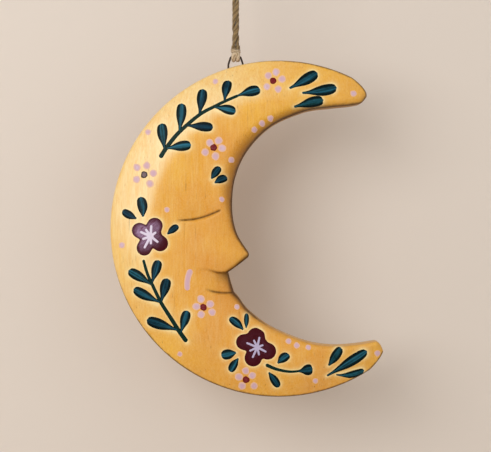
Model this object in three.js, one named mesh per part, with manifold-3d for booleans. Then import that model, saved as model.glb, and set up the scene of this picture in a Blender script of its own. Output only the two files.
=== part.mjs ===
// A carved wooden crescent moon with a sleeping face, hung by a bent wire eye from jute twine.
// Millimetres, +Z up. The moon faces -Y, and the origin is the point where a hook holds the loop.
import * as THREE from 'three';
import { mergeVertices } from 'three/addons/utils/BufferGeometryUtils.js';
import Module from 'manifold-3d';

// Moon
const MOON_DIAMETER = 160;
const MOON_THICKNESS = 18;
const OUTER_WALL = 12;
const OUTER_SLOPE_WIDTH = 24;
const BACK_EDGE_EASE = 1.6;
const BACK_FROM_WIRE = 7.5;
const EYE_LINE_DEPTH = 1.8;
const BROW_SLOPE = 13;
const CHEEK_RISE = 1.8;
const LIP_HOLLOW_DEPTH = 2.8;
const LIP_HOLLOW_WIDTH = 14;
const MOUTH_LINE_LENGTH = 5;
const MOUTH_LINE_RISE = 0.2;

// Rounding of the inner front edge: its width at some angles round the bay, and its depth per mm of width
const ROUNDING_WIDTHS = [[73, 4], [110, 6], [145, 8.5], [166, 8.5], [199, 1.6], [204, 1.6], [212, 5],
  [240, 6.5], [270, 5.5], [293, 4]];
const ROUNDING_DEPTH_RATIO = 1.15;

// Wire eye
const WIRE_DIAMETER = 0.9;
const EYE_LEG_SPACING = 7;
const EYE_RISE = 4.8;
const EYE_LEG_HEIGHT = 1.1;
const EYE_BEND_RADIUS = 0.8;
const EYE_LEFT_OF_CENTRE = 20.4;
const PRONG_DEPTH = 12;

// Twine
const TWINE_DIAMETER = 1.7;
const STRAND_GAP = 0.56;
const TWIST_PITCH = 20;
const STRAND_HEIGHT = 32.5;
const KNOT_DIAMETER = 7;
const TAIL_LENGTH = 6;
const LOOP_HEIGHT = 22;
const LOOP_WIDTH = 8.8;
const TAIL_DROOP = 0.3;

// Clearance between pieces that touch on the real moon
const FIT = 0.3;

// Fineness of the meshes
const COLUMNS = 20;
const COARSE_STEP = 3.2;
const FINE_STEP = 1.3;
const FACE_ANGLES = [164, 222];
const OUTER_EDGE_POINTS = 120;
const INNER_CURVE_POINTS = 8;
const EYE_LINE_POINTS = 16;
const TUBE_SIDES = 8;
const HOLE_SIDES = 16;
const EYE_STEPS = 64;
const HITCH_STEPS = 48;
const STRAND_STEPS = 20;
const LOOP_STEPS = 26;
const TAIL_STEPS = 6;
const KNOT_RINGS = 10;
const KNOT_SIDES = 20;
const GAP_SAMPLES = 240;

const { degToRad, radToDeg, clamp, smoothstep, lerp, mapLinear } = THREE.MathUtils;

// Places along Z, from the hook down
const twineRadius = TWINE_DIAMETER / 2;
const wireRadius = WIRE_DIAMETER / 2;
const moonRadius = MOON_DIAMETER / 2;
const knotRadius = KNOT_DIAMETER / 2;
const strandOffset = twineRadius + STRAND_GAP / 2;
const wrapRadius = wireRadius + FIT + twineRadius;
const hitchHeight = wrapRadius + 2 * TWINE_DIAMETER;
const loopBottom = -LOOP_HEIGHT;
const knotCentre = loopBottom - FIT - knotRadius;
const strandTop = knotCentre - knotRadius - FIT;
const strandBottom = strandTop - STRAND_HEIGHT;
const hitchTop = strandBottom - FIT;
const crownHeight = hitchTop - hitchHeight;
const edgeUnderEye = Math.sqrt(moonRadius ** 2 - EYE_LEFT_OF_CENTRE ** 2);
const moonCentre = new THREE.Vector3(EYE_LEFT_OF_CENTRE, 0, crownHeight - EYE_RISE - edgeUnderEye);

const wasm = await Module();
wasm.setup();

const paintedWood = new THREE.MeshStandardMaterial({ color: 0xedb056, roughness: 0.45, metalness: 0 });
const agedWire = new THREE.MeshStandardMaterial({ color: 0x4a4038, roughness: 0.5, metalness: 0.8 });
const juteTwine = new THREE.MeshStandardMaterial({ color: 0x967d55, roughness: 0.95, metalness: 0 });

// Outline of the crescent, as shares of the outer circle's radius along X and Z from its centre
function onMoon(x, z) {
  return new THREE.Vector2(x, z).multiplyScalar(moonRadius);
}

const bayCentre = onMoon(0.3, 0.025);
const upperTip = onMoon(0.526, 0.785);
const lowerTip = onMoon(0.625, -0.729);
const noseTip = onMoon(-0.175, -0.156);
const noseCorner = onMoon(-0.3, -0.258);
const mouthCorner = onMoon(-0.266, -0.378);

function curveThrough(edge, bend, end) {
  edge.quadraticCurveTo(bend.x, bend.y, end.x, end.y);
}

function onCircle(angle) {
  return new THREE.Vector2(Math.cos(angle), Math.sin(angle)).multiplyScalar(moonRadius);
}

function innerEdge() {
  const edge = new THREE.Path();
  edge.moveTo(upperTip.x, upperTip.y);
  edge.splineThru([onMoon(0.495, 0.751), onMoon(0.438, 0.734), onMoon(0.3, 0.719), onMoon(0.152, 0.696),
    onMoon(-0.041, 0.611), onMoon(-0.184, 0.467), onMoon(-0.259, 0.301), onMoon(-0.276, 0.119),
    onMoon(-0.249, -0.025), onMoon(-0.184, -0.133)]);
  curveThrough(edge, onMoon(-0.165, -0.159), onMoon(-0.19, -0.177));
  edge.splineThru([onMoon(-0.246, -0.22), noseCorner]);
  edge.splineThru([onMoon(-0.286, -0.312), mouthCorner]);
  edge.splineThru([onMoon(-0.236, -0.412), onMoon(-0.175, -0.49), onMoon(-0.039, -0.588),
    onMoon(0.161, -0.67), onMoon(0.312, -0.695), onMoon(0.455, -0.688), onMoon(0.575, -0.67)]);
  curveThrough(edge, onMoon(0.603, -0.667), lowerTip);
  return edge;
}

function outerEdge() {
  const edge = new THREE.Path();
  const upperEnd = degToRad(64);
  const lowerEnd = degToRad(-57);
  edge.moveTo(upperTip.x, upperTip.y);
  curveThrough(edge, onMoon(0.53, 0.83), onCircle(upperEnd));
  edge.absarc(0, 0, moonRadius, upperEnd, lowerEnd + 2 * Math.PI, false);
  curveThrough(edge, onMoon(0.604, -0.781), lowerTip);
  return edge;
}

const outerPoints = outerEdge().getPoints(OUTER_EDGE_POINTS);
const innerPoints = innerEdge().getPoints(INNER_CURVE_POINTS);

// Nearest point of a line of points: its distance, its share of the way along and whether the place is
// on the line's left
function nearest(points, place) {
  let best = { distance: Infinity, along: 0, left: true };
  points.slice(1).forEach((end, i) => {
    const start = points[i];
    const step = end.clone().sub(start);
    const offset = place.clone().sub(start);
    const share = clamp(offset.dot(step) / step.lengthSq(), 0, 1);
    const distance = offset.distanceTo(step.clone().multiplyScalar(share));
    if (distance < best.distance) {
      best = { distance, along: (i + share) / (points.length - 1), left: step.cross(offset) > 0 };
    }
  });
  return best;
}

// Angles about the bay's centre, in degrees, from the upper tip anticlockwise to the lower one
function bayAngle(place) {
  const angle = radToDeg(Math.atan2(place.y - bayCentre.y, place.x - bayCentre.x));
  return angle < 0 ? angle + 360 : angle;
}

function bayDirection(angle) {
  return new THREE.Vector2(Math.cos(degToRad(angle)), Math.sin(degToRad(angle)));
}

// Where the ray from the bay's centre meets an edge
function edgeAt(points, angle) {
  const direction = bayDirection(angle);
  const beyond = (point) => bayAngle(point) >= angle;
  const crossed = points.findIndex((point, i) => i > 0 && beyond(point) && !beyond(points[i - 1]));
  const start = points[crossed - 1].clone().sub(bayCentre);
  const step = points[crossed].clone().sub(points[crossed - 1]);
  const reach = start.cross(step) / direction.cross(step);
  return bayCentre.clone().addScaledVector(direction, reach);
}

// Carved relief
const eyeLine = new THREE.SplineCurve([onMoon(-0.606, 0.054), onMoon(-0.544, 0.054), onMoon(-0.484, 0.06),
  onMoon(-0.419, 0.081), onMoon(-0.341, 0.116)]).getPoints(EYE_LINE_POINTS);

function roundingWidth(angle) {
  const next = ROUNDING_WIDTHS.findIndex(([key]) => key > angle);
  if (next < 1) {
    return next === 0 ? ROUNDING_WIDTHS[0][1] : ROUNDING_WIDTHS.at(-1)[1];
  }
  const [fromAngle, fromWidth] = ROUNDING_WIDTHS[next - 1];
  const [toAngle, toWidth] = ROUNDING_WIDTHS[next];
  return lerp(fromWidth, toWidth, smoothstep(angle, fromAngle, toAngle));
}

// The closed eye: a long slope down from the forehead and a short rise to the cheek
function eyeHollow(place) {
  const { distance, along, left } = nearest(eyeLine, place);
  const reach = left ? BROW_SLOPE : CHEEK_RISE;
  const fade = smoothstep(along, 0, 0.3) * (1 - smoothstep(along, 0.75, 1));
  return EYE_LINE_DEPTH * fade * clamp(1 - distance / reach, 0, 1) ** 2;
}

// The hollow between nose and mouth, deepest at the corner under the nose and ending at the mouth's line
function lipHollow(place) {
  const inward = noseCorner.x - place.x;
  const mouthLine = mouthCorner.y + MOUTH_LINE_RISE * Math.max(0, inward - MOUTH_LINE_LENGTH);
  const down = mapLinear(place.y, noseCorner.y, mouthLine, 0, 1);
  const fade = 1 - smoothstep(inward, 0, LIP_HOLLOW_WIDTH);
  const start = smoothstep(down, -0.06, 0.12);
  const end = 1 - smoothstep(down, 1, 1.14);
  const floor = 0.3 + 0.7 * (1 - clamp(down, 0, 1)) ** 2;
  return LIP_HOLLOW_DEPTH * fade * start * end * floor;
}

// Thickness of the wood at a place on the crescent
function thicknessAt(place) {
  const fromOuter = nearest(outerPoints, place).distance;
  const fromInner = nearest(innerPoints, place).distance;
  const width = roundingWidth(bayAngle(place));
  const outerDrop = (MOON_THICKNESS - OUTER_WALL) * clamp(1 - fromOuter / OUTER_SLOPE_WIDTH, 0, 1) ** 2;
  const innerShare = clamp(1 - fromInner / width, 0, 1);
  const innerDrop = width * ROUNDING_DEPTH_RATIO * (1 - Math.sqrt(1 - innerShare ** 2));
  return MOON_THICKNESS - outerDrop - innerDrop - eyeHollow(place) - lipHollow(place);
}

// Angles of the crescent's sections, close together over the face and with one at each of its corners
function sectionAngles() {
  const first = bayAngle(upperTip) + 0.5;
  const last = bayAngle(lowerTip) - 0.2;
  const angles = [noseTip, noseCorner, mouthCorner].map(bayAngle);
  const corners = [...angles];
  for (let angle = first; angle < last; ) {
    if (corners.every((corner) => Math.abs(corner - angle) > FINE_STEP / 2)) {
      angles.push(angle);
    }
    angle += angle > FACE_ANGLES[0] && angle < FACE_ANGLES[1] ? FINE_STEP : COARSE_STEP;
  }
  angles.push(last);
  return angles.sort((a, b) => a - b);
}

// One section as a loop of corners: across the front from the outer edge to the inner one, and back behind
function section(angle) {
  const outer = edgeAt(outerPoints, angle);
  const inner = edgeAt(innerPoints, angle);
  const width = outer.distanceTo(inner);
  const ease = Math.min(BACK_EDGE_EASE, width / 4);
  const corner = (share, thickness) => {
    const place = outer.clone().lerp(inner, share);
    return [place.x, BACK_FROM_WIRE - thickness, place.y];
  };
  const loop = [];
  for (let column = 0; column <= COLUMNS; column += 1) {
    const share = (1 - Math.cos((Math.PI * column) / COLUMNS)) / 2;
    loop.push(corner(share, thicknessAt(outer.clone().lerp(inner, share))));
  }
  loop.push(corner(1, ease), corner(1 - ease / width, 0), corner(ease / width, 0), corner(0, ease));
  return loop;
}

function crescent() {
  const sections = sectionAngles().map(section);
  const size = sections[0].length;
  const faces = [];
  sections.slice(1).forEach((_, i) => {
    for (let k = 0; k < size; k += 1) {
      const a = i * size + k;
      const b = i * size + ((k + 1) % size);
      faces.push(a, a + size, b, b, a + size, b + size);
    }
  });
  const lastStart = (sections.length - 1) * size;
  for (let k = 1; k < size - 1; k += 1) {
    faces.push(0, k, k + 1, lastStart, lastStart + k + 1, lastStart + k);
  }
  const geometry = new THREE.BufferGeometry();
  geometry.setAttribute('position', new THREE.Float32BufferAttribute(sections.flat(2), 3));
  geometry.setIndex(faces);
  return geometry;
}

function toSolid(geometry) {
  const bare = new THREE.BufferGeometry();
  bare.setAttribute('position', geometry.getAttribute('position').clone());
  bare.setIndex(geometry.getIndex());
  const merged = mergeVertices(bare, 1e-4);
  return new wasm.Manifold(new wasm.Mesh({
    numProp: 3,
    vertProperties: new Float32Array(merged.getAttribute('position').array),
    triVerts: new Uint32Array(merged.getIndex().array),
  }));
}

function toGeometry(solid) {
  const mesh = solid.getMesh();
  const geometry = new THREE.BufferGeometry();
  geometry.setAttribute('position', new THREE.BufferAttribute(mesh.vertProperties, 3));
  geometry.setIndex(new THREE.BufferAttribute(mesh.triVerts, 1));
  return geometry;
}

// A round bar along a path, closed at both ends
function tube(path, radius, steps) {
  const shape = new THREE.Shape();
  shape.absarc(0, 0, radius, 0, 2 * Math.PI);
  return new THREE.ExtrudeGeometry(shape, {
    steps,
    curveSegments: TUBE_SIDES / 2,
    bevelEnabled: false,
    extrudePath: path,
  });
}

function smoothPath(points) {
  return new THREE.CatmullRomCurve3(points.map((point) => new THREE.Vector3(...point)));
}

function mirrored(points) {
  return points.map(([x, y, z]) => [-x, y, z]).reverse();
}

function piece(name, geometry, material) {
  const mesh = new THREE.Mesh(geometry, material);
  mesh.name = name;
  return mesh;
}

function moonBody() {
  let solid = toSolid(crescent());
  const length = PRONG_DEPTH + MOON_THICKNESS;
  [-1, 1].forEach((side) => {
    const hole = new THREE.CylinderGeometry(wireRadius + FIT, wireRadius + FIT, length, HOLE_SIDES);
    hole.rotateX(Math.PI / 2);
    hole.translate(
      (side * EYE_LEG_SPACING) / 2 - EYE_LEFT_OF_CENTRE,
      0,
      edgeUnderEye - PRONG_DEPTH - FIT + length / 2,
    );
    solid = solid.subtract(toSolid(hole));
  });
  const body = piece('moon_body', toGeometry(solid), paintedWood);
  body.position.copy(moonCentre);
  return body;
}

// The wire from prong tip to prong tip with rounded corners: X from the twine's axis, Z from the crown
function hangingEye() {
  const leg = EYE_LEG_SPACING / 2;
  const crown = strandOffset + twineRadius + FIT;
  const shoulder = EYE_LEG_HEIGHT - EYE_RISE;
  const tip = -EYE_RISE - PRONG_DEPTH;
  const half = [[-leg, 0, tip], [-leg, 0, shoulder], [-crown, 0, 0]];
  const corners = [...half, ...mirrored(half)].map((corner) => new THREE.Vector3(...corner));
  const path = new THREE.CurvePath();
  let from = corners[0];
  for (let i = 1; i < corners.length - 1; i += 1) {
    const before = corners[i].clone().sub(corners[i - 1]).setLength(EYE_BEND_RADIUS);
    const after = corners[i + 1].clone().sub(corners[i]).setLength(EYE_BEND_RADIUS);
    const bendStart = corners[i].clone().sub(before);
    const bendEnd = corners[i].clone().add(after);
    path.add(new THREE.LineCurve3(from, bendStart));
    path.add(new THREE.QuadraticBezierCurve3(bendStart, corners[i], bendEnd));
    from = bendEnd;
  }
  path.add(new THREE.LineCurve3(from, corners.at(-1)));
  const eye = piece('hanging_eye', tube(path, wireRadius, EYE_STEPS), agedWire);
  eye.position.set(0, 0, crownHeight);
  return eye;
}

// The hitch: each strand passes behind the wire and under it, and a bight joins the two in front
function twineHitch() {
  const wraps = [15, -30, -75, -120, -165].map((degrees) => {
    const angle = degToRad(degrees);
    return [-strandOffset, wrapRadius * Math.cos(angle), wrapRadius * Math.sin(angle)];
  });
  const left = [
    [-strandOffset, 0, hitchHeight],
    [-strandOffset, 0, hitchHeight - TWINE_DIAMETER / 2],
    [-strandOffset, 0, hitchHeight - TWINE_DIAMETER],
    [-strandOffset, wrapRadius / 2, hitchHeight - 1.65 * TWINE_DIAMETER],
    ...wraps,
    [-strandOffset * 0.8, -wrapRadius, strandOffset],
  ];
  const path = smoothPath([...left, [0, -wrapRadius, strandOffset * 1.6], ...mirrored(left)]);
  const gap = leastSelfGap(path);
  console.log(`twine_hitch: least gap to itself ${gap.toFixed(2)} mm`);
  const hitch = piece('twine_hitch', tube(path, twineRadius, HITCH_STEPS), juteTwine);
  hitch.position.set(0, 0, crownHeight);
  return hitch;
}

// Least gap between stretches of a cord that lie over two diameters apart along it
function leastSelfGap(path) {
  const points = path.getSpacedPoints(GAP_SAMPLES);
  const apart = Math.ceil((2 * TWINE_DIAMETER * GAP_SAMPLES) / path.getLength());
  let least = Infinity;
  points.forEach((point, i) => {
    points.slice(i + apart).forEach((other) => {
      least = Math.min(least, point.distanceTo(other));
    });
  });
  return least - TWINE_DIAMETER;
}

// One of the two strands, which wind round each other
class WindingStrand extends THREE.Curve {
  constructor(startAngle) {
    super();
    this.startAngle = startAngle;
  }

  // Length wound up to a height; the winding starts slowly over the first diameter and ends that way
  wound(up) {
    if (up > STRAND_HEIGHT / 2) {
      return STRAND_HEIGHT - TWINE_DIAMETER - this.wound(STRAND_HEIGHT - up);
    }
    return Math.min(up, TWINE_DIAMETER) ** 2 / (2 * TWINE_DIAMETER) + Math.max(0, up - TWINE_DIAMETER);
  }

  getPoint(share, target = new THREE.Vector3()) {
    const up = share * STRAND_HEIGHT;
    const angle = this.startAngle + (2 * Math.PI * this.wound(up)) / TWIST_PITCH;
    return target.set(strandOffset * Math.cos(angle), strandOffset * Math.sin(angle), strandBottom + up);
  }
}

function twineStrand(name, startAngle) {
  return piece(name, tube(new WindingStrand(startAngle), twineRadius, STRAND_STEPS), juteTwine);
}

// The knot that joins the ends of the twine, with the two cut ends standing out of it
function topKnot() {
  const profile = [];
  for (let ring = 0; ring <= KNOT_RINGS; ring += 1) {
    const angle = (Math.PI * ring) / KNOT_RINGS - Math.PI / 2;
    const across = ring % KNOT_RINGS === 0 ? 0 : knotRadius * Math.cos(angle);
    profile.push(new THREE.Vector2(across, knotRadius * Math.sin(angle)));
  }
  const ball = new THREE.LatheGeometry(profile, KNOT_SIDES);
  ball.rotateX(Math.PI / 2);
  let solid = toSolid(ball);
  [-1, 1].forEach((side) => {
    const tail = new THREE.QuadraticBezierCurve3(
      new THREE.Vector3((side * knotRadius) / 2, 0, 0),
      new THREE.Vector3(side * (knotRadius + TAIL_LENGTH / 2), 0, 0),
      new THREE.Vector3(side * (knotRadius + TAIL_LENGTH), 0, -TAIL_LENGTH * TAIL_DROOP),
    );
    solid = solid.add(toSolid(tube(tail, twineRadius, TAIL_STEPS)));
  });
  const knot = piece('top_knot', toGeometry(solid), juteTwine);
  knot.position.set(0, 0, knotCentre);
  return knot;
}

function hangingLoop() {
  const half = LOOP_WIDTH / 2 - twineRadius;
  const rise = [
    [-strandOffset, 0, -LOOP_HEIGHT],
    [-strandOffset - 0.1, 0, -LOOP_HEIGHT + TWINE_DIAMETER],
    [-half * 0.62, 0, -LOOP_HEIGHT * 0.68],
    [-half * 0.9, 0, -LOOP_HEIGHT * 0.4],
    [-half, 0, -LOOP_HEIGHT * 0.2],
    [-half * 0.78, 0, twineRadius - half * 0.6],
  ];
  const path = smoothPath([...rise, [0, 0, twineRadius], ...mirrored(rise)]);
  return piece('hanging_loop', tube(path, twineRadius, LOOP_STEPS), juteTwine);
}

const moonDecoration = new THREE.Group();
moonDecoration.add(moonBody());
moonDecoration.add(hangingEye());
moonDecoration.add(twineHitch());
moonDecoration.add(twineStrand('twine_strand_left', Math.PI));
moonDecoration.add(twineStrand('twine_strand_right', 0));
moonDecoration.add(topKnot());
moonDecoration.add(hangingLoop());

export default moonDecoration;
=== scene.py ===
"""A carved wooden moon with a sleeping face and painted flowers, hung by a wire eye from jute twine."""

from functools import cache, reduce
from math import atan2, cos, hypot, pi, radians, sin

import bpy
import numpy as np
from bpy.props import FloatProperty, FloatVectorProperty, IntProperty, PointerProperty
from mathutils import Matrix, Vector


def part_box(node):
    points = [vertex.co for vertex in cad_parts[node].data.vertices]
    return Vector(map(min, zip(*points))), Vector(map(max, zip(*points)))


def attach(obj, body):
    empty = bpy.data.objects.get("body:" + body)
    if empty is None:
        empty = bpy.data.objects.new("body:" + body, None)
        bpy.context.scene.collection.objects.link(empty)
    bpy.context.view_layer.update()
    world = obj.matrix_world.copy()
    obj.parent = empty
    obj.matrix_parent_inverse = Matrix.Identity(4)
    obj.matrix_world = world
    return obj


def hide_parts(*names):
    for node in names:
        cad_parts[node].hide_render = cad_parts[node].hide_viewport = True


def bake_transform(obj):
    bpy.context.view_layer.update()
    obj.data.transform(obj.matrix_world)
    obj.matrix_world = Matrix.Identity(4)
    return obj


bl_info = {
    "name": "Hanging moon decoration",
    "version": (1, 0, 0),
    "blender": (4, 5, 0),
    "location": "3D View > Sidebar > Moon",
    "description": "Makes a carved, painted moon that hangs from jute twine",
    "category": "Object",
}

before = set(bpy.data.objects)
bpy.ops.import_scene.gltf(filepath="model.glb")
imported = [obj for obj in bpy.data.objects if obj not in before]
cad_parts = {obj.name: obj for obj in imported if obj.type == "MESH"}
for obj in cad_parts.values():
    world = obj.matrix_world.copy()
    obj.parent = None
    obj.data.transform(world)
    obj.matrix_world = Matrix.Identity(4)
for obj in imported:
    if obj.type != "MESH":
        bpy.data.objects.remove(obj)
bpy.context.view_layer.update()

MM = 0.001
BODY_LOW, BODY_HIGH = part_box("moon_body")
EYE_LOW, EYE_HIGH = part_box("hanging_eye")
STRAND_LOW, STRAND_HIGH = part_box("twine_strand_left")
LOOP_LOW, LOOP_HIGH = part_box("hanging_loop")
KNOT_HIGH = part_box("top_knot")[1]

# Outline of the crescent, as shares of its outer circle's radius along X and Z from the circle's centre
BAY_CENTRE = (0.3, 0.025)
UPPER_TIP = (0.526, 0.785)
LOWER_TIP = (0.625, -0.729)
NOSE_TIP = (-0.175, -0.156)
NOSE_CORNER = (-0.3, -0.258)
MOUTH_CORNER = (-0.266, -0.378)
FOREHEAD = [(0.495, 0.751), (0.438, 0.734), (0.3, 0.719), (0.152, 0.696), (-0.041, 0.611),
            (-0.184, 0.467), (-0.259, 0.301), (-0.276, 0.119), (-0.249, -0.025), (-0.184, -0.133)]
NOSE_BEND = [(-0.165, -0.159), (-0.19, -0.177)]
UNDER_NOSE = [(-0.246, -0.22), NOSE_CORNER]
LIP = [(-0.286, -0.312), MOUTH_CORNER]
CHIN = [(-0.236, -0.412), (-0.175, -0.49), (-0.039, -0.588), (0.161, -0.67), (0.312, -0.695),
        (0.455, -0.688), (0.575, -0.67)]
LOWER_TIP_BEND = (0.603, -0.667)
UPPER_SHOULDER = (0.53, 0.83)
LOWER_SHOULDER = (0.604, -0.781)

# The arc of the outer circle between its two rounded shoulders, in degrees
OUTER_ARC = (64, 303)

# The lines carved for eye, nose and mouth, and the middle of the band of deeper yellow, as the same shares
EYE_LINE = [(-0.606, 0.05), (-0.544, 0.051), (-0.484, 0.059), (-0.419, 0.078), (-0.336, 0.113)]
NOSE_LINE = [(-0.43, -0.235), (-0.393, -0.25), (-0.355, -0.26), NOSE_CORNER]
MOUTH_LINE = [(-0.44, -0.352), (-0.405, -0.366), (-0.366, -0.375), (-0.322, -0.379), MOUTH_CORNER]
DEEP_BAND = [(-0.3, 0.4), (-0.36, 0), (-0.4, -0.35), (-0.2, -0.68), (0.3, -0.85)]

# Rounding of the inner front edge: its width in millimetres at some angles round the bay
ROUNDING_WIDTHS = [(73, 3), (110, 5.5), (145, 8), (160, 7.5), (178, 3.8), (199, 1.6), (204, 1.6), (212, 4),
                   (240, 3.4), (270, 2.4), (293, 2)]

# Painted ornament, in millimetres along X and Z from the centre of the moon's outer circle
SPRIG_STEMS = [
    [(-56.1, 33.4), (-52.7, 38.7), (-47, 45.6), (-37.5, 53.8), (-30, 57.9), (-25.6, 60.1), (-19, 63)],
    [(-43.4, -53.6), (-46.9, -48.7), (-50.7, -42.7), (-55.6, -34.9), (-59.6, -26.7), (-62, -21.4),
     (-64, -14.6)],
    [(-6.2, -64.2), (-1.1, -66.4), (5, -67.6), (10, -67.3)],
]

# Each leaf: where it starts, where its round end is, its width, and how far it bends if it does
LEAVES = [
    ((-19.8, 62.8), (-8.7, 65.8), 5), ((-55.8, 38), (-55.4, 50), 5),
    ((-47, 46.6), (-45.9, 59.5), 4.8), ((-37.5, 54.2), (-35.8, 66.3), 4.8),
    ((-26.2, 61.1), (-23.7, 70.3), 4.5), ((-52, 37.3), (-41.3, 39.6), 4.8),
    ((-42.3, 47.5), (-30.9, 47.8), 4.5), ((-29.7, 56), (-20.2, 55.2), 4.5),
    ((-61, -27), (-71.2, -19.8), 4.8), ((-57.2, -36), (-68.8, -28.5), 4.8),
    ((-48.6, -48.9), (-62.6, -43.2), 5.2), ((-59.6, -25.4), (-56.6, -14.8), 4.5),
    ((-54.7, -34.6), (-52.5, -23.4), 4.8), ((-45, -48.7), (-43.1, -38.6), 4.5),
    ((5, 66.3), (18.5, 74), 5.4), ((11, 64.1), (27.6, 66.8), 5.3),
    ((7.2, 57.5), (21.3, 60.8), 5.2), ((23.6, -64.8), (29.5, -56), 4.4),
    ((22.8, -69.8), (42, -57.8), 5), ((27.2, -69.2), (40.8, -67.4), 3.8, 1.1),
    ((-31.8, 23.5), (-27.7, 29.2), 3.8), ((-30.3, 21.6), (-24.3, 24.2), 3.8),
    ((-64.1, 5.6), (-65.3, 15.1), 4.8), ((-67.2, 4.7), (-74.1, 8.5), 3.8),
    ((-52.6, -2.6), (-47.4, 1.5), 3.3), ((-16.7, -47.7), (-23.2, -42), 3.8),
    ((-15.4, -47), (-15.2, -39.9), 2.4), ((-20.1, -58.5), (-27.2, -60), 4.8),
    ((-19.1, -61.2), (-23, -67.8), 3.8), ((-0.5, -63.6), (4.9, -59.3), 4.3),
    ((9.2, -67.3), (16.1, -66.2), 5.2), ((-4.7, -67.9), (0.2, -75.2), 3.8),
]

# Each plum flower: its centre, its petals as centre and radius, and the ends of its star's strokes
PLUM_FLOWERS = [
    ((-60.5, -3.6),
     [((-58.5, 1.5), 3.9), ((-65.9, -0.8), 3.8), ((-63.6, -9.2), 3.8), ((-55.9, -7), 3.9)],
     [(-60.1, 1.8), (-63, 0), (-65.6, -1.4), (-64.6, -5.1), (-63.6, -9.4), (-60.3, -7.6),
      (-56.7, -6.6), (-57.7, -1.5)]),
    ((-10.1, -56),
     [((-10.7, -50.8), 4.3), ((-16.5, -53.5), 3.9), ((-12.1, -61.2), 4.2), ((-5.1, -57.9), 4.1)],
     [(-9, -50.9), (-11.9, -52.3), (-15.4, -53.8), (-14, -57.9), (-12.5, -61.2), (-9.2, -60),
      (-5.7, -58.3), (-7.1, -54.8)]),
]

# Each daisy: its centre and its petals
DAISIES = [
    ((-30.8, 38.3), [(-32.5, 40.5), (-28.4, 41.5), (-26.7, 38), (-29.8, 34.2), (-34.7, 36.1)]),
    ((-63.6, 25.5), [(-67.1, 29), (-62.4, 29.8), (-59.3, 26.2), (-60.8, 21.3), (-67.3, 23.3)]),
    ((-35.6, -37.1), [(-36.7, -33.2), (-38.8, -36.7), (-36.6, -40.5), (-32.3, -35.6), (-31.5, -39.4)]),
    ((-15.4, -71.6), [(-15.6, -67.2), (-18.8, -70.2), (-12.5, -69.5), (-11.6, -74.6), (-17.3, -74.6)]),
    ((-2.6, 69.9), [(-4.9, 72.5), (-1.3, 74.2), (1.6, 70.8), (-0.3, 66), (-5.6, 67.1)]),
]

# The lilac dots, and the way of the one long lilac stroke
LILAC_DOTS = [(-30, 69.9), (-62, 45.9), (-22.4, 32.5), (-26.9, 13.8), (-52.8, 9), (-74.3, -7.8),
              (-46.8, -59.5), (-19.7, -36.9), (-3.9, 52.1), (-7.9, 49.7), (-11.5, 46.7), (4.6, -53.1),
              (8.5, -55.1), (14, -56), (17.4, -72.2), (35.5, 64.1), (47, -59.2)]
LILAC_STROKE = [(-41.4, -19.2), (-42.6, -22.2), (-43.2, -25.6), (-43.1, -29.2)]

# In millimetres: a leaf that starts this near a stem grows from it, and one longer than this starts thin
NEAR_STEM = 2.2
LONG_LEAF = 11

# Leaves spread this much wider than they are listed, and the taper makes their start thin or blunt
LEAF_SPREAD = 1.07
THIN_START = 1.0
BLUNT_START = 0.72

# Radius of the middle of a plum flower, and how high paint lies that covers other paint
FLOWER_MIDDLE = 5.5 * MM
OVER_STEM = 0.02 * MM
OVER_PETALS = 0.1 * MM

# How far the looks of the wood and its paint reach, in metres
WAVELESS_EDGE = 6 * MM
CORNER_DIRT_AND_SHADE = 3.8 * MM
DIRT_AND_SHADE_UNDER_LINE = 0.4 * MM
DARK_EDGE_LINE = 1.2 * MM
BAY_SHADE = 15 * MM
MOUTH_SHADE = 8.5 * MM
DEEP_BAND_REACH = 20 * MM
HALO = 0.7 * MM

# From the corner under the nose to the dirt and painted shade there, and from the corner of the mouth to the
# painted shade beside it
TO_CORNER_DIRT_AND_SHADE = (-1.1 * MM, -0.5 * MM)
TO_MOUTH_SHADE = (-4 * MM, 2.5 * MM)

# Sections of the moon, in degrees round the bay: where the face is, steps there and elsewhere, and the tips
FACE_ANGLES = (163, 223)
FACE_STEP = 0.22
SECTION_STEP = 0.55
TIP_ANGLE = 3
TIP_SECTIONS = 22

# Angles round the bay between which the edge past the chin, whose wall faces up into the light, gets less
# wear, stain and painted shade
PAST_CHIN = (225, 250)

# Gap that the pieces of twine keep to each other and to the wire
GAP = 0.3 * MM

# Two strands in one cord: how far each moves in, in radii, its widening, and how near the axis it may come
PRESSED_IN = 0.42
WIDENED = 1.75
SHORT_OF_AXIS = 0.995

# The strands run through the knot at this share of their distance from the twine's middle
IN_KNOT = 0.8

# Width of the turns of the hitch and of its binding, as shares of the twine's diameter
HITCH_WIDTH = 1.3
BINDING_WIDTH = 0.7

# Centres of the two lights from the middle of the moon's height, in metres
KEY_LIGHT = (-0.55, -0.95, 0.29)
FILL_LIGHT = (0.8, -0.95, 0.1)

# Corners of wall and floor, and half the width of each in metres
CORNERS = [(-1, -1), (1, -1), (1, 1), (-1, 1)]
WALL_REACH = 3
FLOOR_REACH = 1


def paint(red, green, blue):
    """A colour given as 0 to 255 for each channel, as Blender's linear values."""
    shares = (channel / 255 for channel in (red, green, blue))
    return tuple(s / 12.92 if s <= 0.04045 else ((s + 0.055) / 1.055) ** 2.4 for s in shares)


def length(name, description, millimetres):
    """A property for a length, whose default is given in millimetres."""
    return FloatProperty(name=name, description=description, default=millimetres * MM, min=0,
                         unit="LENGTH", precision=5)


def share(name, description, default):
    """A property for a share from 0 to 1."""
    return FloatProperty(name=name, description=description, default=default, min=0, max=1,
                         subtype="FACTOR")


def colour(name, description, *channels):
    """A property for a colour, whose default is given as 0 to 255 for each channel."""
    return FloatVectorProperty(name=name, description=description, subtype="COLOR", size=3,
                               default=paint(*channels), min=0, max=1)


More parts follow.
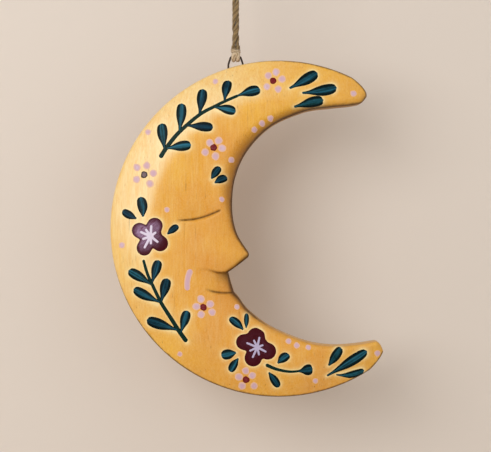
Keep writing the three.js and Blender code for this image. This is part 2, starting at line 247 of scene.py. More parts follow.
class MoonSizes(bpy.types.PropertyGroup):
    """Sizes of the carved wood, of its face and of the tool marks in it."""

    diameter: length("Diameter", "Outer circle of the crescent", (BODY_HIGH.z - BODY_LOW.z) / MM)
    thickness: length("Thickness", "Thickest part of the wood", (BODY_HIGH.y - BODY_LOW.y) / MM)
    outer_wall: length("Outer wall", "Thickness of the wood at its outer edge", 12)
    outer_slope: length("Outer slope", "Width over which the front slopes to the outer edge", 24)
    outer_rounding: length("Outer rounding", "Radius of the outer front edge", 1.1)
    back_rounding: length("Back rounding", "Radius of the edges of the back", 1.6)
    eye_line_depth: length("Eye line depth", "Depth of the carved closed eye", 1.8)
    brow_slope: length("Brow slope", "Width of the slope from the forehead to the eye line", 13)
    cheek_rise: length("Cheek rise", "Width of the rise from the eye line to the cheek", 1.8)
    lip_hollow_depth: length("Lip hollow depth", "Depth of the hollow between nose and mouth", 2.8)
    lip_hollow_width: length("Lip hollow width", "How far that hollow reaches into the face", 17)
    knife_line: length("Knife line", "Half the width of the lines cut for eye, nose and mouth", 0.45)
    knife_depth: length("Knife depth", "Depth of those lines", 0.4)
    tool_marks: length("Tool marks", "Height of the waves that carving and sanding left", 0.1)


class EyeSizes(bpy.types.PropertyGroup):
    """Sizes of the wire eye."""

    wire: length("Wire", "Diameter of the eye's wire", 0.9)
    rise: length("Rise", "Height of the eye's crown over the wood", 4.8)
    leg_height: length("Leg height", "Height of the upright part of each leg", 1.1)
    crown_width: length("Crown width", "Width of the flat crown", 4.56)
    bend: length("Bend", "Length of wire that each bend takes on either side", 0.8)


class TwineSizes(bpy.types.PropertyGroup):
    """Sizes of the twine and of its fibres."""

    diameter: length("Diameter", "Diameter of the twine", 1.7)
    strand_gap: length("Strand gap", "Distance between the two strands' centres, less a diameter", 0.56)
    squash: share("Squash", "How far the two strands are pressed into one cord", 0.9)
    pitch: length("Pitch", "Height of one turn of the strands round each other", 20)
    lay: length("Lay", "Length of one turn of the plies in the twine", 11)
    plies: IntProperty(name="Plies", description="Number of plies in the twine", default=3, min=2, max=6)
    groove: share("Groove", "Depth of the grooves between plies, as a share of the radius", 0.18)
    fibre_length: length("Fibre length", "Length of the loose fibres", 1.5)
    fibre_density: FloatProperty(name="Fibre density", default=4.5e5, min=0,
                                 description="Loose fibres on each square metre of twine")


class PaintSizes(bpy.types.PropertyGroup):
    """Sizes of the painted ornament."""

    leaf: length("Leaf paint", "Thickness of the paint of leaves and stems", 0.09)
    flower: length("Flower paint", "Thickness of the paint of the plum flowers", 0.1)
    dab: length("Dab paint", "Thickness of the dots and petals", 0.1)
    stem: length("Stem", "Width of a stem at its root", 2.3)
    dot: length("Dot", "Diameter of a dot", 3.1)
    petal: length("Petal", "Diameter of a daisy's petal", 3.7)
    heart: length("Heart", "Diameter of a daisy's middle", 3.3)
    star_stroke: length("Star stroke", "Width of a stroke of the star in a plum flower", 1.6)


class MoonColours(bpy.types.PropertyGroup):
    """Colours of the paints, the twine, the wire and the stage."""

    yellow: colour("Yellow", "Paint of the moon", 234, 176, 20)
    # The pale yellow also paints the sheen of the light on the outer slope
    yellow_pale: colour("Pale yellow", "Thin or rubbed places of the yellow", 238, 212, 150)
    # The deep yellow lies in blotches, in the grain and in a band inside the bay's edge
    yellow_deep: colour("Deep yellow", "Thick places of the yellow", 212, 136, 8)
    # The side brown is partly stain and partly painted shade: on the sides, and where the front rounds into
    # the bay
    side_brown: colour("Side brown", "Stain on the sides and where the front rounds off", 128, 78, 26)
    # The edge brown also paints shade in the knife lines, under the nose and along the edges
    edge_brown: colour("Edge brown", "Worn edges and the dirt in the carving", 54, 32, 12)
    leaf: colour("Leaf", "Bluer leaves", 2, 26, 46)
    leaf_green: colour("Green leaf", "Greener leaves and the stems", 6, 38, 28)
    leaf_edge: colour("Leaf edge", "Edges of the leaves", 0, 16, 16)
    leaf_light: colour("Light leaf strokes", "Brush strokes along the leaves", 46, 118, 144)
    plum: colour("Plum", "Plum flowers", 62, 6, 16)
    # The purple is the painted sheen on the upper left of the left plum flower
    plum_purple: colour("Purple plum", "The purpler of the plum flowers", 88, 24, 52)
    # The light plum strokes show most in that painted sheen
    plum_light: colour("Light plum", "Brush strokes in the plum flowers", 186, 162, 198)
    lilac: colour("Lilac", "Dots and daisy petals", 200, 162, 172)
    lilac_thin: colour("Thin lilac", "Edges of the dots and petals, where the yellow shows", 220, 180, 156)
    star: colour("Star", "Star in the left plum flower", 214, 204, 222)
    star_dull: colour("Dull star", "Star in the lower plum flower", 178, 168, 196)
    heart: colour("Heart", "Middles of the daisies", 108, 18, 22)
    heart_grey: colour("Grey heart", "Middle of the daisy on the left", 104, 88, 92)
    jute: colour("Jute", "Twine", 140, 114, 74)
    # The dark jute also paints shade in the grooves between the plies
    jute_dark: colour("Dark jute", "Grooves and dark fibres", 84, 62, 36)
    jute_pale: colour("Pale jute", "Pale fibres", 190, 166, 124)
    # The bleached jute is partly rubbed twine and partly the painted highlight on the hitch
    jute_bleached: colour("Bleached jute", "Rubbed twine round the wire", 222, 200, 170)
    wire: colour("Wire", "Dark iron wire", 46, 40, 36)
    rust: colour("Rust", "Rust on the wire", 78, 52, 36)
    wall: colour("Wall", "Wall behind the moon", 215, 204, 193)
    floor: colour("Floor", "Floor below the moon", 214, 204, 192)


class StageSizes(bpy.types.PropertyGroup):
    """Places of camera, wall and floor, and the strength of the lights."""

    camera_distance: length("Camera distance", "From the lens to the moon's outer edge", 820)
    camera_right: length("Camera from the twine", "How far right of the twine the lens is", 4.7)
    camera_below: length("Camera height", "How far below the hook the lens is", 148.3)
    view_width: length("View width", "Width of the view at the moon", 233.4)
    wall_distance: length("Wall distance", "From the moon's back to the wall", 46)
    floor_drop: length("Floor drop", "From the moon's lowest point to the floor", 90)
    key_size: length("Key light size", "Diameter of the large light on the left", 850)
    fill_size: length("Fill light size", "Diameter of the light on the right", 1300)
    key_power: FloatProperty(name="Key light", description="Power of the large light on the left",
                             default=6.9, min=0, unit="POWER")
    fill_power: FloatProperty(name="Fill light", description="Power of the light on the right",
                              default=2.0, min=0, unit="POWER")
    sky: FloatProperty(name="Room light", description="Strength of the light from all round",
                       default=0.63, min=0)


class Nodes:
    """Adds nodes to a tree. An input is given as a value or as another node's output."""

    def __init__(self, tree):
        self.tree = tree

    def add(self, kind, inputs=None, **settings):
        """A new node with its settings, and its inputs set or joined."""
        node = self.tree.nodes.new(kind)
        for name, value in settings.items():
            setattr(node, name, value)
        for key, value in (inputs or {}).items():
            if isinstance(value, bpy.types.NodeSocket):
                self.tree.links.new(value, node.inputs[key])
            else:
                node.inputs[key].default_value = value
        return node

    def math(self, operation, *values, clamp=False):
        inputs = dict(enumerate(values))
        return self.add("ShaderNodeMath", inputs, operation=operation, use_clamp=clamp).outputs[0]

    def times(self, *factors):
        return reduce(lambda a, b: self.math("MULTIPLY", a, b), factors)

    def plus(self, a, b, clamp=False):
        return self.math("ADD", a, b, clamp=clamp)

    def minus(self, a, b):
        return self.math("SUBTRACT", a, b)

    def divided(self, a, b):
        return self.math("DIVIDE", a, b)

    def larger(self, *values):
        return reduce(lambda a, b: self.math("MAXIMUM", a, b), values)

    def vector(self, operation, *values):
        inputs = dict(enumerate(values))
        return self.add("ShaderNodeVectorMath", inputs, operation=operation).outputs[0]

    def scaled(self, vector, factor):
        return self.add("ShaderNodeVectorMath", {0: vector, "Scale": factor}, operation="SCALE").outputs[0]

    def combined(self, x=0.0, y=0.0, z=0.0):
        return self.add("ShaderNodeCombineXYZ", {0: x, 1: y, 2: z}).outputs[0]

    def separated(self, vector):
        return self.add("ShaderNodeSeparateXYZ", {0: vector}).outputs

    def ramp(self, value, low, high, start=0.0, end=1.0, easing="LINEAR"):
        """The value mapped from low and high to start and end, and held there outside them."""
        inputs = {"Value": value, "From Min": low, "From Max": high, "To Min": start, "To Max": end}
        return self.add("ShaderNodeMapRange", inputs, interpolation_type=easing).outputs[0]

    def between(self, mask, start, end):
        """From start to end as the mask goes from 0 to 1."""
        return self.ramp(mask, 0.0, 1.0, start, end)

    def mix(self, factor, a, b):
        """The colour between a and b at a share of the way."""
        a, b = (c if isinstance(c, bpy.types.NodeSocket) else (*tuple(c)[:3], 1) for c in (a, b))
        return self.add("ShaderNodeMix", {0: factor, 6: a, 7: b}, data_type="RGBA").outputs[2]

    def noise(self, vector, scale, detail, roughness):
        inputs = {"Vector": vector, "Scale": scale, "Detail": detail, "Roughness": roughness}
        return self.add("ShaderNodeTexNoise", inputs).outputs[0]

    def attribute(self, name):
        """The node of a named attribute of the mesh, in a material."""
        return self.add("ShaderNodeAttribute", attribute_name=name)

    def measured(self, operation, *vectors):
        """The number that a sum on vectors gives, such as a length."""
        inputs = dict(enumerate(vectors))
        return self.add("ShaderNodeVectorMath", inputs, operation=operation).outputs["Value"]

    def position(self):
        return self.add("GeometryNodeInputPosition").outputs[0]

    def run(self):
        """How far along its line each point is, as Length and as Factor."""
        return self.add("GeometryNodeSplineParameter").outputs

    def moved(self, geometry, **where):
        """The geometry with its points moved to a Position, by an Offset, or both."""
        return self.add("GeometryNodeSetPosition", {"Geometry": geometry, **where}).outputs[0]

    def realized(self, geometry):
        return self.add("GeometryNodeRealizeInstances", {"Geometry": geometry}).outputs[0]

    def swept(self, line, profile, scale, caps=True):
        """The mesh that a profile makes along a line, at a scale that can change on the way."""
        return self.add("GeometryNodeCurveToMesh", {"Curve": line, "Profile Curve": profile, "Scale": scale,
                                                    "Fill Caps": caps}).outputs[0]

    def named(self, name, kind="FLOAT"):
        """A named attribute of the mesh, in geometry nodes."""
        return self.add("GeometryNodeInputNamedAttribute", {"Name": name}, data_type=kind).outputs[0]

    def stored(self, geometry, name, value, kind="FLOAT"):
        """The geometry with a value kept on its points under a name."""
        inputs = {"Geometry": geometry, "Name": name, "Value": value}
        return self.add("GeometryNodeStoreNamedAttribute", inputs, data_type=kind).outputs[0]

    def group(self, tree, inputs):
        """The outputs of a node group that is placed in this tree."""
        kind = "GeometryNodeGroup" if tree.bl_idname == "GeometryNodeTree" else "ShaderNodeGroup"
        return self.add(kind, inputs, node_tree=tree).outputs


def new_tree(name, kind, inputs, outputs):
    """A node group with named inputs and outputs, each (name, kind of socket, default)."""
    tree = bpy.data.node_groups.new(name, kind)
    for label, socket, *default in inputs:
        made = tree.interface.new_socket(label, in_out="INPUT", socket_type=f"NodeSocket{socket}")
        if default:
            made.default_value = default[0]
    for label, socket in outputs:
        tree.interface.new_socket(label, in_out="OUTPUT", socket_type=f"NodeSocket{socket}")
    nodes = Nodes(tree)
    return nodes, nodes.add("NodeGroupInput").outputs


# Meshes

def new_object(name, data):
    """An object of the scene for some mesh, curve, light or camera."""
    made = bpy.data.objects.new(name, data)
    bpy.context.scene.collection.objects.link(made)
    return made


def mesh_object(name, vertices, faces, values=None):
    """A smooth mesh with named values on its points."""
    mesh = bpy.data.meshes.new(name)
    mesh.from_pydata(np.asarray(vertices, float).tolist(), [], [list(map(int, f)) for f in faces])
    for label, numbers in (values or {}).items():
        layer = mesh.attributes.new(label, "FLOAT", "POINT")
        layer.data.foreach_set("value", np.asarray(numbers, np.float32))
    mesh.shade_smooth()
    return new_object(name, mesh)


def grid_faces(rows, columns, closed=False):
    """Faces between rows of points, with the last column joined to the first where it is closed."""
    across = columns if closed else columns - 1
    i, k = np.meshgrid(np.arange(rows - 1), np.arange(across), indexing="ij")
    a = i * columns + k
    b = i * columns + (k + 1) % columns
    return np.stack([a, b, b + columns, a + columns], axis=-1).reshape(-1, 4)


def curve_object(name, lines, widths=None):
    """A curve object with one open line of points for each line given, and the lines' widths as its radii."""
    curve = bpy.data.curves.new(name, "CURVE")
    curve.dimensions = "3D"
    for line, width in zip(lines, widths or [1.0] * len(lines)):
        spline = curve.splines.new("POLY")
        spline.points.add(len(line) - 1)
        spline.points.foreach_set("co", np.column_stack([line, np.ones(len(line))]).ravel())
        spline.points.foreach_set("radius", np.full(len(line), width))
    return new_object(name, curve)


def grown(name, source, tree, **values):
    """The plain mesh that a tree makes of an object, which takes the object's place."""
    modifier = source.modifiers.new(tree.name, "NODES")
    modifier.node_group = tree
    sockets = {item.name: item.identifier for item in tree.interface.items_tree
               if item.item_type == "SOCKET" and item.in_out == "INPUT"}
    for label, value in values.items():
        modifier[sockets[label.replace("_", " ").capitalize()]] = value
    evaluated = source.evaluated_get(bpy.context.evaluated_depsgraph_get())
    mesh = bpy.data.meshes.new_from_object(evaluated)
    mesh.name = name
    source.modifiers.remove(modifier)
    bpy.data.objects.remove(source)
    return new_object(name, mesh)


def carried(piece, body, slot, *nodes):
    """Lets a piece ride on a body and stand for the nodes named."""
    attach(piece, body)
    if nodes:
        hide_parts(*nodes)
    return piece


def smooth_line(points, steps, closed_ends=True):
    """Points on a smooth line through the ones given, with steps of it in each span."""
    points = np.asarray(points, float)
    padded = np.vstack([points[0], points, points[-1]]) if closed_ends else points
    t = (np.arange(steps) / steps)[:, None]
    spans = []
    for a, b, c, d in zip(padded, padded[1:], padded[2:], padded[3:]):
        spans.append(b + 0.5 * t * (c - a + t * (2 * a - 5 * b + 4 * c - d + t * (3 * (b - c) + d - a))))
    return np.vstack([*spans, padded[-2:-1]])


def bent_line(start, corner, end, steps):
    """Points on the curve from start to end that bends at a corner."""
    t = np.linspace(0, 1, steps + 1)[:, None]
    start, corner, end = (np.asarray(point, float) for point in (start, corner, end))
    return (1 - t) ** 2 * start + 2 * t * (1 - t) * corner + t ** 2 * end


def near(distance, reach):
    """1 at no distance, falling like a bell to almost 0 at twice the reach."""
    return np.exp(-(distance / reach) ** 2)


def eased(value, low, high):
    """0 below low, 1 above high and smooth between."""
    t = np.clip((value - low) / (high - low), 0, 1)
    return t * t * (3 - 2 * t)


# The crescent

def outer_centre(sizes):
    """The centre of the moon's outer circle in the frame's X and Z."""
    return np.array([BODY_LOW.x + sizes.diameter / 2, (BODY_LOW.z + BODY_HIGH.z) / 2])


class Crescent:
    """The moon's outline and relief. Places are X and Z in metres from the outer circle's centre."""

    # Steps in each span of the outline, and in each loop over the front, the walls, the easing and the back
    SPAN_STEPS = 14
    FRONT_STEPS = 104
    WALL_ROWS = 7
    EASE_ROWS = 4
    BACK_STEPS = 12

    def __init__(self, sizes):
        self.sizes = sizes
        self.radius = sizes.diameter / 2
        self.bay = np.array(BAY_CENTRE) * self.radius
        self.inner = self.inner_edge() * self.radius
        self.outer = self.outer_edge() * self.radius
        self.lines = [smooth_line(line, 6) * self.radius for line in (EYE_LINE, NOSE_LINE, MOUTH_LINE)]
        self.dark_edge = np.array([NOSE_TIP, *UNDER_NOSE, *LIP, *CHIN[:3]]) * self.radius
        self.centre = outer_centre(sizes)

    def inner_edge(self):
        """The edge of the bay with the face's profile, from the upper tip to the lower, in radii."""
        steps = self.SPAN_STEPS
        return np.vstack([
            smooth_line([UPPER_TIP, *FOREHEAD], steps)[:-1],
            bent_line(FOREHEAD[-1], *NOSE_BEND, steps)[:-1],
            smooth_line([NOSE_BEND[-1], *UNDER_NOSE], steps)[:-1],
            smooth_line([NOSE_CORNER, *LIP], steps)[:-1],
            smooth_line([MOUTH_CORNER, *CHIN], steps)[:-1],
            bent_line(CHIN[-1], LOWER_TIP_BEND, LOWER_TIP, steps),
        ])

    def outer_edge(self, points=160):
        """The round edge from the upper tip to the lower, in radii."""
        angles = np.radians(np.linspace(*OUTER_ARC, points))
        arc = np.column_stack([np.cos(angles), np.sin(angles)])
        steps = self.SPAN_STEPS
        return np.vstack([bent_line(UPPER_TIP, UPPER_SHOULDER, arc[0], steps)[:-1], arc,
                          bent_line(arc[-1], LOWER_SHOULDER, LOWER_TIP, steps)[1:]])

    def bay_angle(self, places):
        """The angle of each place round the middle of the bay, in degrees."""
        x, z = (np.atleast_2d(places) - self.bay).T
        return np.degrees(np.arctan2(z, x)) % 360

    def edge_at(self, edge, angles):
        """The points of an edge at some angles round the bay."""
        reach = np.hypot(*(edge - self.bay).T)
        reach = np.interp(angles, self.bay_angle(edge), reach)
        turned = np.radians(angles)
        return self.bay + reach[:, None] * np.column_stack([np.cos(turned), np.sin(turned)])

    def nearest(self, line, places):
        """For each place, its distance to a line, its share of the way along, and if it is on the left."""
        distance = np.full(len(places), np.inf)
        along = np.zeros(len(places))
        left = np.zeros(len(places), bool)
        for i, (start, end) in enumerate(zip(line, line[1:])):
            step = end - start
            offset = places - start
            portion = np.clip(offset @ step / (step @ step), 0, 1)
            away = np.hypot(*(offset - portion[:, None] * step).T)
            closer = away < distance
            distance[closer] = away[closer]
            along[closer] = (i + portion[closer]) / (len(line) - 1)
            left[closer] = (step[0] * offset[:, 1] - step[1] * offset[:, 0])[closer] > 0
        return distance, along, left

    def rounding_width(self, angles):
        """How wide the inner front edge is rounded at some angles round the bay."""
        keys, widths = np.array(ROUNDING_WIDTHS, float).T
        span = np.clip(np.searchsorted(keys, angles, side="right") - 1, 0, len(keys) - 2)
        blend = eased(angles, keys[span], keys[span + 1])
        return (widths[span] + (widths[span + 1] - widths[span]) * blend) * MM

    def eye_hollow(self, places):
        """The closed eye: a long slope down from the forehead and a short rise to the cheek."""
        distance, along, left = self.nearest(self.lines[0], places)
        reach = np.where(left, self.sizes.brow_slope, self.sizes.cheek_rise)
        fade = eased(along, 0, 0.5) * (1 - eased(along, 0.75, 1))
        return self.sizes.eye_line_depth * fade * np.clip(1 - distance / reach, 0, 1) ** 2

    def lip_hollow(self, places):
        """The hollow between nose and mouth, deepest at the corner under the nose."""
        inward = NOSE_CORNER[0] * self.radius - places[:, 0]
        top, bottom = (np.interp(places[:, 0], *line.T) for line in self.lines[1:])
        down = (places[:, 1] - top) / (bottom - top)
        fade = 1 - eased(inward, 0, self.sizes.lip_hollow_width)
        ends = eased(down, -0.06, 0.12) * (1 - eased(down, 1, 1.14))
        floor = 0.3 + 0.7 * (1 - np.clip(down, 0, 1)) ** 2
        return self.sizes.lip_hollow_depth * fade * ends * floor

    def creases(self, places):
        """How near each place is to the knife lines of eye, nose and mouth, from 0 to 1 in them."""
        crease = np.zeros(len(places))
        # Where each line starts, is deepest and has faded, as shares of its way; two run on past the edge
        runs = ((0, 0.2, 1), (0, 0.6, 9), (0, 0.4, 9))
        for line, (start, full, last) in zip(self.lines, runs):
            distance, along, _ = self.nearest(line, places)
            fade = eased(along, start, full) * (1 - eased(along, last - 0.08, last))
            crease = np.maximum(crease, fade * near(distance, self.sizes.knife_line))
        return crease

    def waves(self, places):
        """Low waves that carving and sanding left in the front."""
        x, z = places.T / MM
        wave = np.sin(x / 5.1 + 1.3 * np.sin(z / 9.7)) + np.sin(z / 7.3 + 1.7 * np.sin(x / 12.1) + 2)
        return self.sizes.tool_marks * wave / 2

    def relief(self, places):
        """Thickness of the wood at each place, and the values there that its paint reads."""
        sizes = self.sizes
        from_outer = self.nearest(self.outer, places)[0]
        from_inner = self.nearest(self.inner, places)[0]
        width = self.rounding_width(self.bay_angle(places))
        slope = (sizes.thickness - sizes.outer_wall) * np.clip(1 - from_outer / sizes.outer_slope, 0, 1) ** 2
        inner_share = np.clip(1 - from_inner / width, 0, 1)
        outer_share = np.clip(1 - from_outer / sizes.outer_rounding, 0, 1)
        rounding = width * 1.15 * (1 - np.sqrt(1 - inner_share ** 2))
        rounding += sizes.outer_rounding * (1 - np.sqrt(1 - outer_share ** 2))
        crease = self.creases(places)
        carved = self.eye_hollow(places) + self.lip_hollow(places) + crease * sizes.knife_depth
        calm = eased(np.minimum(from_outer, from_inner), 0, WAVELESS_EDGE)
        thickness = sizes.thickness - slope - rounding - carved - sizes.tool_marks + self.waves(places) * calm
        # Towards the lower right, away from the light, edges get more wear and painted shade, and the slope
        # less painted sheen
        right = eased(places[:, 0], -0.5 * self.radius, 0.3 * self.radius)
        low = eased(-places[:, 1], -0.2 * self.radius, 0.9 * self.radius)
        worn_and_shaded = np.maximum(right, low)
        return thickness, {
            "edge": self.worn_and_shaded_edge(places, from_outer, from_inner, worn_and_shaded),
            # Knife lines and the corner under the nose: darkened with dirt and painted shade
            "stain": np.maximum(crease, self.dirt_and_shade(places)),
            "shade": self.shade(places, from_inner, inner_share),
            "halo": ornament_halo(places),
            # Pale on the outer slope: partly rubbed paint, partly painted sheen of the light from the upper
            # left
            "rubbed": eased(1 - from_outer / sizes.outer_slope, 0.05, 0.35) * (1 - 0.85 * worn_and_shaded),
            "thick": near(self.nearest(np.array(DEEP_BAND) * self.radius, places)[0], DEEP_BAND_REACH),
        }

    def worn_and_shaded_edge(self, places, from_outer, from_inner, worn_and_shaded):
        """Distance to the nearest edge, from which the dark of wear and painted shade reaches: shorter along
        the bay, longer towards the upper left, where the light falls and the edge is less worn, and longer
        past the chin.
        """
        angle = self.bay_angle(places)
        inner = 0.8 * from_inner + MM * eased(angle, *PAST_CHIN)
        outer = (from_outer + 0.45 * MM * (1 - worn_and_shaded)) / (1 - 0.6 * (1 - worn_and_shaded))
        return np.where(from_inner < from_outer, inner, outer)

    def dirt_and_shade(self, places):
        """Dirt and painted shade in the corner under the nose and along the edge below it, from 0 to 1."""
        corner = np.array(NOSE_CORNER) * self.radius + TO_CORNER_DIRT_AND_SHADE
        under_line = np.interp(places[:, 0], *self.lines[1].T) - places[:, 1]
        smudge = 0.85 * near(np.hypot(*(places - corner).T), CORNER_DIRT_AND_SHADE)
        smudge *= np.clip(under_line / DIRT_AND_SHADE_UNDER_LINE, 0, 1)
        distance, along, _ = self.nearest(self.dark_edge, places)
        line = near(distance, DARK_EDGE_LINE) * (1 - eased(along, 0.6, 0.98))
        return np.maximum(smudge, line)

    def shade(self, places, from_inner, inner_share):
        """Painted brown shade where the wood rounds off into the bay and beside the mouth, from 0 to 1."""
        angle = self.bay_angle(places)
        shade = np.maximum(inner_share, 0.45 * np.clip(1 - from_inner / BAY_SHADE, 0, 1) ** 1.5)
        shade *= (0.35 + 0.65 * eased(angle, 75, 105)) * (1 - 0.75 * eased(angle, 215, 245))
        beside_mouth = np.array(MOUTH_CORNER) * self.radius + TO_MOUTH_SHADE
        return np.maximum(shade, 0.42 * near(np.hypot(*(places - beside_mouth).T), MOUTH_SHADE))

    def station_angles(self):
        """Angles of the sections: close together over the face, and closer still towards the tips."""
        first = self.bay_angle(np.array(UPPER_TIP) * self.radius)[0] + 0.02
        last = self.bay_angle(np.array(LOWER_TIP) * self.radius)[0] - 0.02
        tip = TIP_ANGLE * np.linspace(0, 1, TIP_SECTIONS) ** 2
        top, bottom = FACE_ANGLES
        parts = [first + tip, np.arange(first + TIP_ANGLE + 0.5, top, SECTION_STEP),
                 np.arange(top, bottom, FACE_STEP),
                 np.arange(bottom, last - TIP_ANGLE - 0.5, SECTION_STEP), last - tip[::-1]]
        corners = self.bay_angle(np.array([NOSE_TIP, NOSE_CORNER, MOUTH_CORNER]) * self.radius)
        return np.unique(np.concatenate([*parts, corners]))

    def mesh(self, name):
        """The wood as a loop of points at each angle: the front, the inner wall, the back, the outer wall."""
        angles = self.station_angles()
        outer = self.edge_at(self.outer_edge(720) * self.radius, angles)
        inner = self.edge_at(self.inner, angles)
        across = (inner - outer)[:, None]
        width = np.hypot(*(inner - outer).T)
        ease = np.minimum(self.sizes.back_rounding, width / 4)
        shares = (1 - np.cos(np.linspace(0, pi, self.FRONT_STEPS + 1))) / 2
        front = outer[:, None] + across * shares[None, :, None]
        thickness, looks = self.relief(front.reshape(-1, 2))
        thickness = thickness.reshape(front.shape[:2])
        loop_share, loop_depth = self.loop(shares, thickness, ease, width)
        place = outer[:, None] + across * loop_share[..., None] + self.centre
        vertices = np.stack([place[..., 0], loop_depth, place[..., 1]], axis=-1)
        stations, count = loop_share.shape
        faces = grid_faces(stations, count, closed=True)[:, ::-1].tolist()
        faces += [list(range(count)), [(stations - 1) * count + k for k in range(count)][::-1]]
        edge = self.edge_beside_front(loop_share, thickness, ease, width)
        values = {"side": self.side_stain_and_shade(angles, count).ravel()}
        for label, seen in looks.items():
            beside = edge if label == "edge" else 0 * edge
            values[label] = np.hstack([seen.reshape(thickness.shape), beside]).ravel()
        return mesh_object(name, vertices.reshape(-1, 3), faces, values)

    def loop(self, shares, thickness, ease, width):
        """Each loop's points: their share of the way from the outer edge to the inner, and their depth."""
        back = BODY_HIGH.y
        inset = (ease / width)[:, None]
        turn = np.linspace(0, pi / 2, self.EASE_ROWS + 1)
        rows_down = np.linspace(0, 1, self.WALL_ROWS + 1)[1:]
        wall_inner = back - thickness[:, -1:] + (thickness[:, -1] - ease)[:, None] * rows_down
        wall_outer = back - thickness[:, :1] + (thickness[:, 0] - ease)[:, None] * rows_down[::-1]
        ease_share = inset * (1 - np.cos(turn))[1:]
        ease_depth = back - ease[:, None] * (1 - np.sin(turn))[1:]
        flat = inset + (1 - 2 * inset) * np.linspace(0, 1, self.BACK_STEPS + 1)[None, 1:-1]
        one = np.ones_like(wall_inner)
        loop_share = np.hstack([np.broadcast_to(shares, thickness.shape), one, 1 - ease_share,
                                1 - flat, ease_share[:, ::-1], 0 * one])
        loop_depth = np.hstack([back - thickness, wall_inner, ease_depth,
                                np.full_like(flat, back), ease_depth[:, ::-1], wall_outer])
        return loop_share, loop_depth

    def edge_beside_front(self, loop_share, thickness, ease, width):
        """Distance to the nearest edge on the walls and the back."""
        beyond = loop_share.shape[1] - self.FRONT_STEPS - 1
        rows = self.WALL_ROWS
        rows_down = np.linspace(0, 1, rows + 1)[1:]
        from_corner = np.minimum(rows_down, 1 - rows_down)
        edge = np.minimum(loop_share, 1 - loop_share)[:, -beyond:] * width[:, None]
        edge[:, :rows] = (thickness[:, -1] - ease)[:, None] * from_corner
        edge[:, -rows:] = (thickness[:, 0] - ease)[:, None] * from_corner[::-1]
        return edge

    def side_stain_and_shade(self, angles, count):
        """How brown each loop is, partly stain and partly painted shade: full on the walls, a little on the
        back and not at all on the front, and less on the wall past the chin, which faces up into the light.
        """
        front, rows = self.FRONT_STEPS, self.WALL_ROWS
        stain = np.where(np.arange(count) > front, 1.0, 0.0)
        stain[front + rows + self.EASE_ROWS + 1:-rows - self.EASE_ROWS] = 0.25
        stain = np.tile(stain, (len(angles), 1))
        stain[:, front + 1:front + rows + 1] *= 1 - 0.8 * eased(angles, *PAST_CHIN)[:, None]
        return stain


def ornament_halo(places):
    """How near each place is to dark ornament, where the yellow was left paler: 1 beside it, falling to 0."""
    pads = [(stem[i], stem[i + 1], 0.7, 0.7) for stem in SPRIG_STEMS for i in range(len(stem) - 1)]
    pads += [(centre, petal, 4, radius) for centre, petals, _ in PLUM_FLOWERS for petal, radius in petals]
    for base, tip, width, *_ in LEAVES:
        base, tip = np.array(base), np.array(tip)
        pads.append((base, tip - (tip - base) * width * 0.5 / hypot(*(tip - base)), 0.4, width / 2))
    gap = np.full(len(places), np.inf)
    for start, end, first, last in pads:
        start, step = np.array(start) * MM, (np.array(end) - np.array(start)) * MM
        offset = places - start
        portion = np.clip(offset @ step / (step @ step), 0, 1)
        away = np.hypot(*(offset - portion[:, None] * step).T) - (first + (last - first) * portion) * MM
        gap = np.minimum(gap, away)
    return np.exp(-np.maximum(gap, 0) / HALO)


# Finishes that several materials use

@cache
def streaks_group():
    """Long streaks, as of grain or a brush: a mask from 0 to 1."""
    nodes, given = new_tree("Streaks", "ShaderNodeTree", [
        ("Vector", "Vector"), ("Width", "Float", 0.8 * MM), ("Stretch", "Float", 12.0),
        ("Contrast", "Float", 0.25),
    ], [("Mask", "Float")])
    x, y, z = nodes.separated(given["Vector"])
    stretched = nodes.combined(x, y, nodes.divided(z, given["Stretch"]))
    noise = nodes.noise(stretched, nodes.divided(1.0, given["Width"]), 4.0, 0.6)
    return with_contrast(nodes, given, noise)


@cache
def mottle_group():
    """Soft uneven patches, as in hand-laid paint and varnish: a mask from 0 to 1."""
    nodes, given = new_tree("Mottle", "ShaderNodeTree", [
        ("Vector", "Vector"), ("Size", "Float", 12 * MM), ("Contrast", "Float", 0.2),
    ], [("Mask", "Float")])
    noise = nodes.noise(given["Vector"], nodes.divided(1.0, given["Size"]), 3.0, 0.55)
    return with_contrast(nodes, given, noise)


def with_contrast(nodes, given, noise):
    """Ends a finish: the noise as a mask, which a low contrast value makes crisp."""
    low = nodes.minus(0.5, given["Contrast"])
    high = nodes.plus(0.5, given["Contrast"])
    nodes.add("NodeGroupOutput", {"Mask": nodes.ramp(noise, low, high)})
    return nodes.tree


@cache
def edge_wear_and_shade_group():
    """Where paint has rubbed off or darkened within a ragged distance of an edge, partly as painted shade: a
    mask from 0 to 1.
    """
    nodes, given = new_tree("Edge Wear", "ShaderNodeTree", [
        ("Vector", "Vector"), ("Distance", "Float"), ("Width", "Float", 1 * MM), ("Grain", "Float", 2 * MM),
    ], [("Mask", "Float")])
    ragged = nodes.noise(given["Vector"], nodes.divided(1.0, given["Grain"]), 6.0, 0.72)
    reach = nodes.times(given["Width"], nodes.ramp(ragged, 0.3, 0.7, 0.5, 1.4))
    nodes.add("NodeGroupOutput", {"Mask": nodes.ramp(given["Distance"], 0.0, reach, 1.0, 0.0, "SMOOTHSTEP")})
    return nodes.tree


def streaks(nodes, vector, width, stretch, contrast):
    """The mask that the group of streaks gives, so wide and so many times as long."""
    inputs = {"Vector": vector, "Width": width, "Stretch": stretch, "Contrast": contrast}
    return nodes.group(streaks_group(), inputs)["Mask"]


def mottle(nodes, vector, size, contrast):
    """The mask that the group of uneven patches gives, at a size."""
    return nodes.group(mottle_group(), {"Vector": vector, "Size": size, "Contrast": contrast})["Mask"]


# Materials

def empty_material(name):
    """A material without nodes yet, and the adder of its nodes."""
    material = bpy.data.materials.new(name)
    material.use_nodes = True
    material.node_tree.nodes.clear()
    return material, Nodes(material.node_tree)


